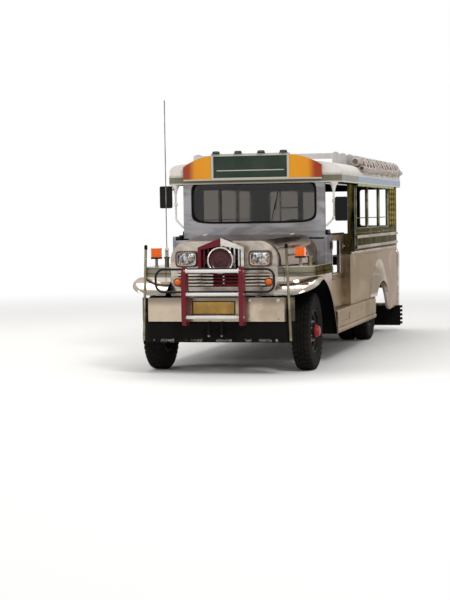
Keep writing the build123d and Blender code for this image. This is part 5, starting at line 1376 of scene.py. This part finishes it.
def makeSides(settings):
    skin = settings["skin"]
    frames = []
    for low, high in settings["windows"]:
        frames += windowFrame(low, high, settings["sill"], settings["windowTop"], skin)
    complete(frames, "window_frames", "windowMetal", bothSides=True)
    gems = []
    pitch = (settings["windowTop"] - settings["sill"]) / settings["lozengeRows"]
    for row in range(settings["lozengeRows"]):
        z = settings["sill"] + (row + 0.5) * pitch
        for column in range(-1, 2):
            y = settings["lozengeY"] + column * settings["lozengePitch"]
            gems.append(lozenge(y, z, skin + 0.0035, *settings["lozengeHalf"]))
    backing = block((skin - 0.002, settings["lozengeY"] - 0.33, settings["sill"] - 0.02),
                    (skin + 0.0045, settings["lozengeY"] + 0.33, settings["windowTop"] + 0.02), 0.002)
    complete(gems, "post_lozenges", "gold", angle=20, bothSides=True)
    complete(backing, "post_panel", "bronze", bothSides=True)
    low, high, foot, top = settings["valance"]
    inner, outer = settings["valanceX"]
    strip = block((inner, low, foot), (outer, high, top + 0.006), 0.003)
    bpy.ops.object.mode_set(mode="EDIT")
    for step in range(1, settings["cuts"]):
        bpy.ops.mesh.select_all(action="SELECT")
        cut = low + (high - low) * step / settings["cuts"]
        bpy.ops.mesh.bisect(plane_co=(0, cut, 0), plane_no=(0, 1, 0))
    bpy.ops.object.mode_set(mode="OBJECT")
    for vertex in strip.data.vertices:
        sag = 0.5 + 0.5 * math.sin(vertex.co.y * 21) + 0.6 * noise.noise(Vector((vertex.co.y * 9, 1, 0)))
        vertex.co.x += 0.003 * math.sin(vertex.co.y * 47)
        if vertex.co.z < foot + 0.01:
            vertex.co.z -= 0.008 * sag
    complete(strip, "valance_strip", "valance", bothSides=True)
    rivet = roundStack([(0, 0.006), (0.002, 0.0056), (0.0036, 0.0035), (0.004, 0.0012)], 8)
    place(rivet, turn=facing["left"])
    rivets = []
    for z, start, end in settings["rivetRows"]:
        count = int((end - start) / settings["rivetPitch"])
        for station in range(count + 1):
            y = start + (end - start) * station / count
            # the wheel arch takes its share of the lowest row
            if z > 0.75 or abs(y - settings["archY"]) >= settings["archRadius"]:
                rivets.append(copyOf(rivet, (skin, y, z)))
    bpy.data.objects.remove(rivet)
    complete(rivets, "side_rivets", "polished", angle=60, bothSides=True)
    print("sides done")


makeSides(sideSizes)

# doors: beading round the slot, a lever handle and a top pad
doorSizes = {
    "skin": 0.835, "slot": (-1.426, -0.966, 0.919, 1.266), "leaf": (-1.463, -0.667, 1.338),
    "handle": (-0.76, 1.2),
}


def makeDoors(settings):
    skin = settings["skin"]
    low, high, foot, top = settings["slot"]
    parts = [
        block((skin - 0.001, low - 0.009, foot - 0.009), (skin + 0.0055, high + 0.009, foot), 0.0025),
        block((skin - 0.001, low - 0.009, top), (skin + 0.0055, high + 0.009, top + 0.009), 0.0025),
        block((skin - 0.001, low - 0.009, foot - 0.004), (skin + 0.005, low, top + 0.004), 0.0025),
        block((skin - 0.001, high, foot - 0.004), (skin + 0.005, high + 0.009, top + 0.004), 0.0025),
    ]
    left = together(parts)
    y, z = settings["handle"]
    plate = ringStack([(0, 0.026, 0.015), (0.003, 0.026, 0.015), (0.0045, 0.024, 0.013)], 24, 3)
    place(plate, (skin, y, z), (0, 90, 0))
    lever = tube([(skin + 0.004, y, z + 0.008), (skin + 0.022, y, z + 0.008),
                  (skin + 0.026, y - 0.02, z + 0.006), (skin + 0.024, y - 0.095, z - 0.002)], 0.0062, 10)
    handle = together([plate, lever])
    start, end, upper = settings["leaf"]
    pad = block((skin - 0.034, start + 0.02, upper - 0.006), (skin + 0.003, end - 0.006, upper + 0.012),
                0.007, 3)
    for name, source, finish, angle in (("door_slot_bead", left, "chrome", 35),
                                        ("door_handle", handle, "chrome", 50),
                                        ("door_top_pad", pad, "rubber", 60)):
        twin = acrossCopy(source)
        complete(source, name + "_left", finish, "door_left_leaf", angle)
        complete(twin, name + "_right", finish, "door_right_leaf", angle)
    print("doors done")


makeDoors(doorSizes)

# hood: louvres on both flanks
hoodSizes = {
    "louvres": 9, "front": -2.5, "pitch": 0.064, "z": 1.155,
    # place along the hood, half its width there
    "nose": (-2.795, 0.545), "cowl": (-1.713, 0.725), "lean": 9.4,
}


def makeHood(settings):
    parts = []
    (noseY, noseHalf), (cowlY, cowlHalf) = settings["nose"], settings["cowl"]
    for step in range(settings["louvres"]):
        y = settings["front"] + step * settings["pitch"]
        half = noseHalf + (cowlHalf - noseHalf) * (y - noseY) / (cowlY - noseY)
        lip = ringStack([(0, 0.05, 0.009), (0.008, 0.046, 0.0065), (0.0105, 0.038, 0.003)], 20, 3)
        place(lip, turn=(0, 0, 90))
        place(lip, turn=facing["left"])
        parts.append(place(lip, (half - 0.0015, y, settings["z"]), (0, 0, settings["lean"])))
    complete(parts, "hood_louvres", "polished", "hood_lid", 60, bothSides=True)
    print("hood done")


makeHood(hoodSizes)


# padded seats: each pad is blown up by cloth pressure from a slightly smaller block, then crowned and seamed
seatSizes = {
    "voxel": 0.012, "pressure": 3.5, "frames": 16, "cap": 0.014,
    "benchX": (0.502, 0.868), "benchFoot": 1.0105, "benchTop": 1.0795, "benchFront": -0.6, "benchEnd": 2.96,
    "benchPads": 4,
}


def blowUp(pad, settings):
    # cloth pressure rounds the block; no point may move further than the cap
    pick(pad)
    pad.data.remesh_voxel_size = settings["voxel"]
    bpy.ops.object.voxel_remesh()
    before = [vertex.co.copy() for vertex in pad.data.vertices]
    bpy.ops.object.modifier_add(type="CLOTH")
    cloth = pad.modifiers[-1]
    cloth.settings.use_pressure = True
    cloth.settings.uniform_pressure_force = settings["pressure"]
    cloth.settings.quality = 4
    cloth.settings.effector_weights.gravity = 0
    scene = bpy.context.scene
    for step in range(1, settings["frames"] + 1):
        scene.frame_set(step)
    bpy.ops.object.modifier_apply(modifier=cloth.name)
    scene.frame_set(1)
    for vertex, start in zip(pad.data.vertices, before):
        move = vertex.co - start
        if move.length > settings["cap"]:
            vertex.co = start + move.normalized() * settings["cap"]
    return pad


def flatten(pad, foot, top):
    # the underside lies flat on what carries it, and the crown stays under its limit
    for vertex in pad.data.vertices:
        if vertex.co.z < foot:
            vertex.co.z = foot
        if vertex.co.z > top:
            vertex.co.z = top
    return pad


def makeBenches(settings):
    length = (settings["benchEnd"] - settings["benchFront"]) / settings["benchPads"]
    inner, outer = settings["benchX"]
    foot, top = settings["benchFoot"], settings["benchTop"]
    start = settings["benchFront"]
    pad = block((inner + 0.012, start + 0.014, foot + 0.008),
                (outer - 0.012, start + length - 0.014, top - 0.012), 0.018, 3)
    blowUp(pad, settings)
    flatten(pad, foot, top + 0.004)
    pads = [pad]
    for step in range(1, settings["benchPads"]):
        pads.append(copyOf(pad, (0, step * length, 0)))
    piping = []
    for step in range(settings["benchPads"]):
        low, high = start + step * length + 0.012, start + (step + 1) * length - 0.012
        for z in (foot + 0.009, top - 0.012):
            piping.append(tube([(inner + 0.006, low, z), (outer - 0.006, low, z), (outer - 0.006, high, z),
                                (inner + 0.006, high, z)], 0.004, 8, closed=True, smooth=False))
    left = together(pads)
    right = acrossCopy(left)
    for bench, label in ((left, "left"), (right, "right")):
        complete(bench, "bench_pads_" + label, "vinyl", angle=80)
        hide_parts("benches")
    complete(piping, "bench_piping", "piping", angle=60, bothSides=True)
    print("benches done")


makeBenches(seatSizes)

# front seats: a cushion and a leaning backrest each
cabSeatSizes = {
    "rows": ((0.4, 0.44), (-0.33, 0.62)), "front": -1.16, "foot": 0.93, "cushion": 0.1, "depth": 0.36,
    "backTop": 1.42, "lean": 7.0,
}


def makeCabSeats(settings, pads):
    y, foot = settings["front"], settings["foot"]
    piping = []
    for middle, width in settings["rows"]:
        label = "driver" if middle > 0 else "passenger"
        half = width / 2
        rear, top = y + settings["depth"] + 0.09, foot + settings["cushion"]
        seat = block((middle - half + 0.012, y + 0.012, foot + 0.008),
                     (middle + half - 0.012, rear, top - 0.012), 0.022, 3)
        blowUp(seat, pads)
        flatten(seat, foot + 0.001, top + 0.006)
        backHigh = settings["backTop"] - top
        back = block((-half + 0.012, -0.04, 0.01), (half - 0.012, 0.028, backHigh - 0.012), 0.022, 3)
        blowUp(back, pads)
        place(back, (middle, rear - 0.038, top - 0.004), (-settings["lean"], 0, 0))
        piece = together([seat, back])
        complete(piece, "cab_seat_" + label, "vinyl", angle=80)
        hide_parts("front_seats")
        low, left, right = y + 0.004, middle + half - 0.004, middle - half + 0.004
        for z in (foot + 0.01, top - 0.01):
            piping.append(tube([(right, rear, z), (right, low, z), (left, low, z), (left, rear, z)], 0.0042,
                               8, smooth=False))
    complete(piping, "cab_seat_piping", "piping", angle=60)
    print("cab seats done")


makeCabSeats(cabSeatSizes, seatSizes)


# small fittings: windscreen foot seal, pole tips, antenna spring and tail-lamp lenses
fittingSizes = {
    "seal": (-0.832, 0.832, -1.502, 1.2975, 1.312),
    "poleTop": (0.7, -3.1555, 1.265), "spring": (-0.644, -2.61, 1.142, 0.075, 7),
    "tail": (0.64, 3.068, 1.0),
}


def makeFittings(settings):
    low, high, face, foot, top = settings["seal"]
    complete(block((low, face, foot), (high, face + 0.0215, top), 0.004), "screen_foot_seal", "rubber")
    x, y, z = settings["poleTop"]
    tip = roundStack([(-0.03, 0.0132), (-0.03, 0.0155), (-0.004, 0.0165), (0.006, 0.015), (0.012, 0.0105),
                      (0.0145, 0.004)], 20)
    place(tip, (x, y, z))
    complete(tip, "pole_tips", "rubber", angle=50, bothSides=True)
    x, y, z, rise, turns = settings["spring"]
    steps = turns * 16
    coil = [(x + 0.0165 * math.cos(step * math.pi / 8), y + 0.0165 * math.sin(step * math.pi / 8),
             z + rise * step / steps) for step in range(steps + 1)]
    collar = roundStack([(-0.004, 0.0185), (0.012, 0.0185), (0.02, 0.011), (0.034, 0.007)], 20)
    place(collar, (x, y, z + rise))
    complete([tube(coil, 0.0035, 8), collar], "antenna_spring", "zinc", angle=60)
    x, y, z = settings["tail"]
    for name, finish, spans in (("tail_lenses_red", "redLens", ((0.035, 0.118), (-0.118, -0.05))),
                                ("tail_lenses_amber", "amber", ((-0.045, 0.03),))):
        lenses = [block((x - 0.063, y - 0.002, z + start), (x + 0.063, y + 0.014, z + end), 0.008, 3)
                  for start, end in spans]
        complete(lenses, name, finish, angle=50, bothSides=True)
    rim = ringStack([(0, 0.077, 0.132), (0.006, 0.077, 0.132), (0.008, 0.074, 0.129), (0.006, 0.069, 0.124),
                     (-0.002, 0.069, 0.124), (-0.002, 0.077, 0.132), (0, 0.077, 0.132)], 48, 9)
    place(rim, (x, y, z), facing["rear"])
    complete(rim, "tail_lamp_rims", "chrome", bothSides=True)
    print("fittings done")


makeFittings(fittingSizes)

# inside: level hand rails under the roof, gauges, and a gear lever with its gaiter
insideSizes = {
    "railX": 0.36, "railZ": 1.93, "rail": (-0.45, 2.9), "roofFace": 1.99, "hangers": 5,
    "gauges": ((0.38, 1.315, 0.045), (0.27, 1.305, 0.03), (0.49, 1.305, 0.03)), "dashFace": -1.279,
    "lever": (0.03, -1.13, 0.64),
}


def makeInside(settings):
    x, z = settings["railX"], settings["railZ"]
    drop = settings["roofFace"] - z
    start, end = settings["rail"]
    parts = [tube([(x, start, z), (x, end, z)], 0.0125, 12, smooth=False)]
    for step in range(settings["hangers"]):
        y = start + 0.06 + step * (end - start - 0.12) / (settings["hangers"] - 1)
        hanger = roundStack([(0, 0.0075), (drop - 0.004, 0.0075), (drop - 0.004, 0.022), (drop, 0.022)], 16)
        parts.append(place(hanger, (x, y, z)))
    complete(parts, "hand_rails", "chrome", bothSides=True)
    rims, dials = [], []
    for x, z, radius in settings["gauges"]:
        rim = roundStack([(-0.012, radius), (0.005, radius), (0.008, radius - 0.003), (0.006, radius - 0.006),
                          (-0.012, radius - 0.006), (-0.012, radius)], 32)
        rims.append(place(rim, (x, settings["dashFace"], z), facing["rear"]))
        dial = roundStack([(-0.012, radius - 0.005), (0.001, radius - 0.005), (0.0016, radius * 0.3),
                           (0.006, radius * 0.12)], 32)
        dials.append(place(dial, (x, settings["dashFace"], z), facing["rear"]))
    complete(rims, "gauge_rims", "chrome", angle=50)
    complete(dials, "gauge_faces", "rubber", angle=20)
    x, y, z = settings["lever"]
    gaiter = [(0.0, 0.075)]
    for step in range(5):
        gaiter += [(0.012 + step * 0.018, 0.062 - step * 0.009), (0.021 + step * 0.018, 0.066 - step * 0.011)]
    boot = place(roundStack(gaiter + [(0.105, 0.013)], 28), (x, y, z))
    knob = place(roundStack([(-0.02, 0.01), (-0.012, 0.018), (0, 0.023), (0.014, 0.021), (0.024, 0.012)], 24),
                 (x + 0.03, y + 0.05, z + 0.4))
    lever = tube([(x, y, z + 0.09), (x + 0.004, y + 0.01, z + 0.22), (x + 0.03, y + 0.05, z + 0.4)], 0.008,
                 12)
    complete([boot, knob], "lever_boot", "rubber", angle=50)
    complete(lever, "gear_lever", "chrome", angle=60)
    print("inside done")


makeInside(insideSizes)


# second finishes on some faces of the CAD nodes
frontWheel = Vector((0.76, -2.45, 0.39))
limits = {
    "flareX": 0.903, "flareTop": 1.0, "flareY": (0.73, 2.23),
    "upright": (0.2625, 0.3055), "barFace": -3.25, "grilleX": (-0.3, -0.02), "grilleFoot": 1.04,
    "grilleRidge": -0.1, "bumperEnd": 0.69, "bumperFoot": 0.525, "hookHighlightTop": 0.4, "postX": 0.6,
    "postTop": 1.13, "mirrorArm": 0.885,
}


def inward(middle, normal):
    # faces that look towards the middle of the cab or the cabin
    return normal.x * middle.x < 0 and abs(normal.x) > 0.5


def wellSide(middle, normal):
    # faces of a wing that look at its wheel
    away = middle - Vector((math.copysign(frontWheel.x, middle.x), frontWheel.y, frontWheel.z))
    away.x = 0
    return normal.dot(away) < -0.05 * away.length or normal.x * middle.x < -0.5


def near(value, low, high):
    return low < value < high


for side in ("left", "right"):
    # painted shade: the faces of each wing that look at its wheel get the near-black underseal
    paintFaces("fender_" + side, "undersealShade", wellSide)
    # the rear arch flares get the chrome with painted reflections
    paintFaces("body_side_" + side, "flareMetal", lambda middle, normal: (
        abs(middle.x) > limits["flareX"] and middle.z < limits["flareTop"]
        and near(middle.y, *limits["flareY"])))
    # painted shade: inward faces, undersides and rear-facing faces get the near-black lining
    paintFaces("body_side_" + side, "shadeLining", inward)
    paintFaces("door_" + side, "shadeLining", inward)
paintFaces("roof_panel", "shadeLining", lambda middle, normal: normal.z < -0.5)
paintFaces("rear_wall", "shadeLining", lambda middle, normal: normal.y < -0.5)
paintFaces("windscreen_frame", "shadeLining", lambda middle, normal: normal.y > 0.5)
paintFaces("drip_band", "shadeLining", lambda middle, normal: inward(middle, normal) or normal.z < -0.5)
paintFaces("cab_sills", "shadeLining", inward)

paintFaces("bull_bar", "crimson", lambda middle, normal: near(abs(middle.x), *limits["upright"]))
paintFaces("bull_bar", "tubeWhite", lambda middle, normal: (
    abs(middle.x) < limits["upright"][0] and middle.y < limits["barFace"]))
paintFaces("grille", "crimson", lambda middle, normal: (
    near(middle.x, *limits["grilleX"]) and middle.z > limits["grilleFoot"]
    and not (normal.z > 0.5 and middle.x > limits["grilleRidge"])))
# painted dark reflection on the bumper's ends beyond 0.69 m
paintFaces("bumper_front", "endReflectionMetal", lambda middle, normal: abs(middle.x) > limits["bumperEnd"])
# painted shade: the bumper's underside and hooks below 0.525 m are black; below 0.4 m their tips are zinc as
# a painted highlight
paintFaces("bumper_front", "chassis", lambda middle, normal: middle.z < limits["bumperFoot"])
paintFaces("bumper_front", "zinc", lambda middle, normal: middle.z < limits["hookHighlightTop"])
paintFaces("amber_lamps", "greySteel", lambda middle, normal: (
    abs(middle.x) > limits["postX"] and middle.z < limits["postTop"]))
paintFaces("mirrors", "tubeWhite", lambda middle, normal: abs(middle.x) < limits["mirrorArm"])
print("second finishes set")
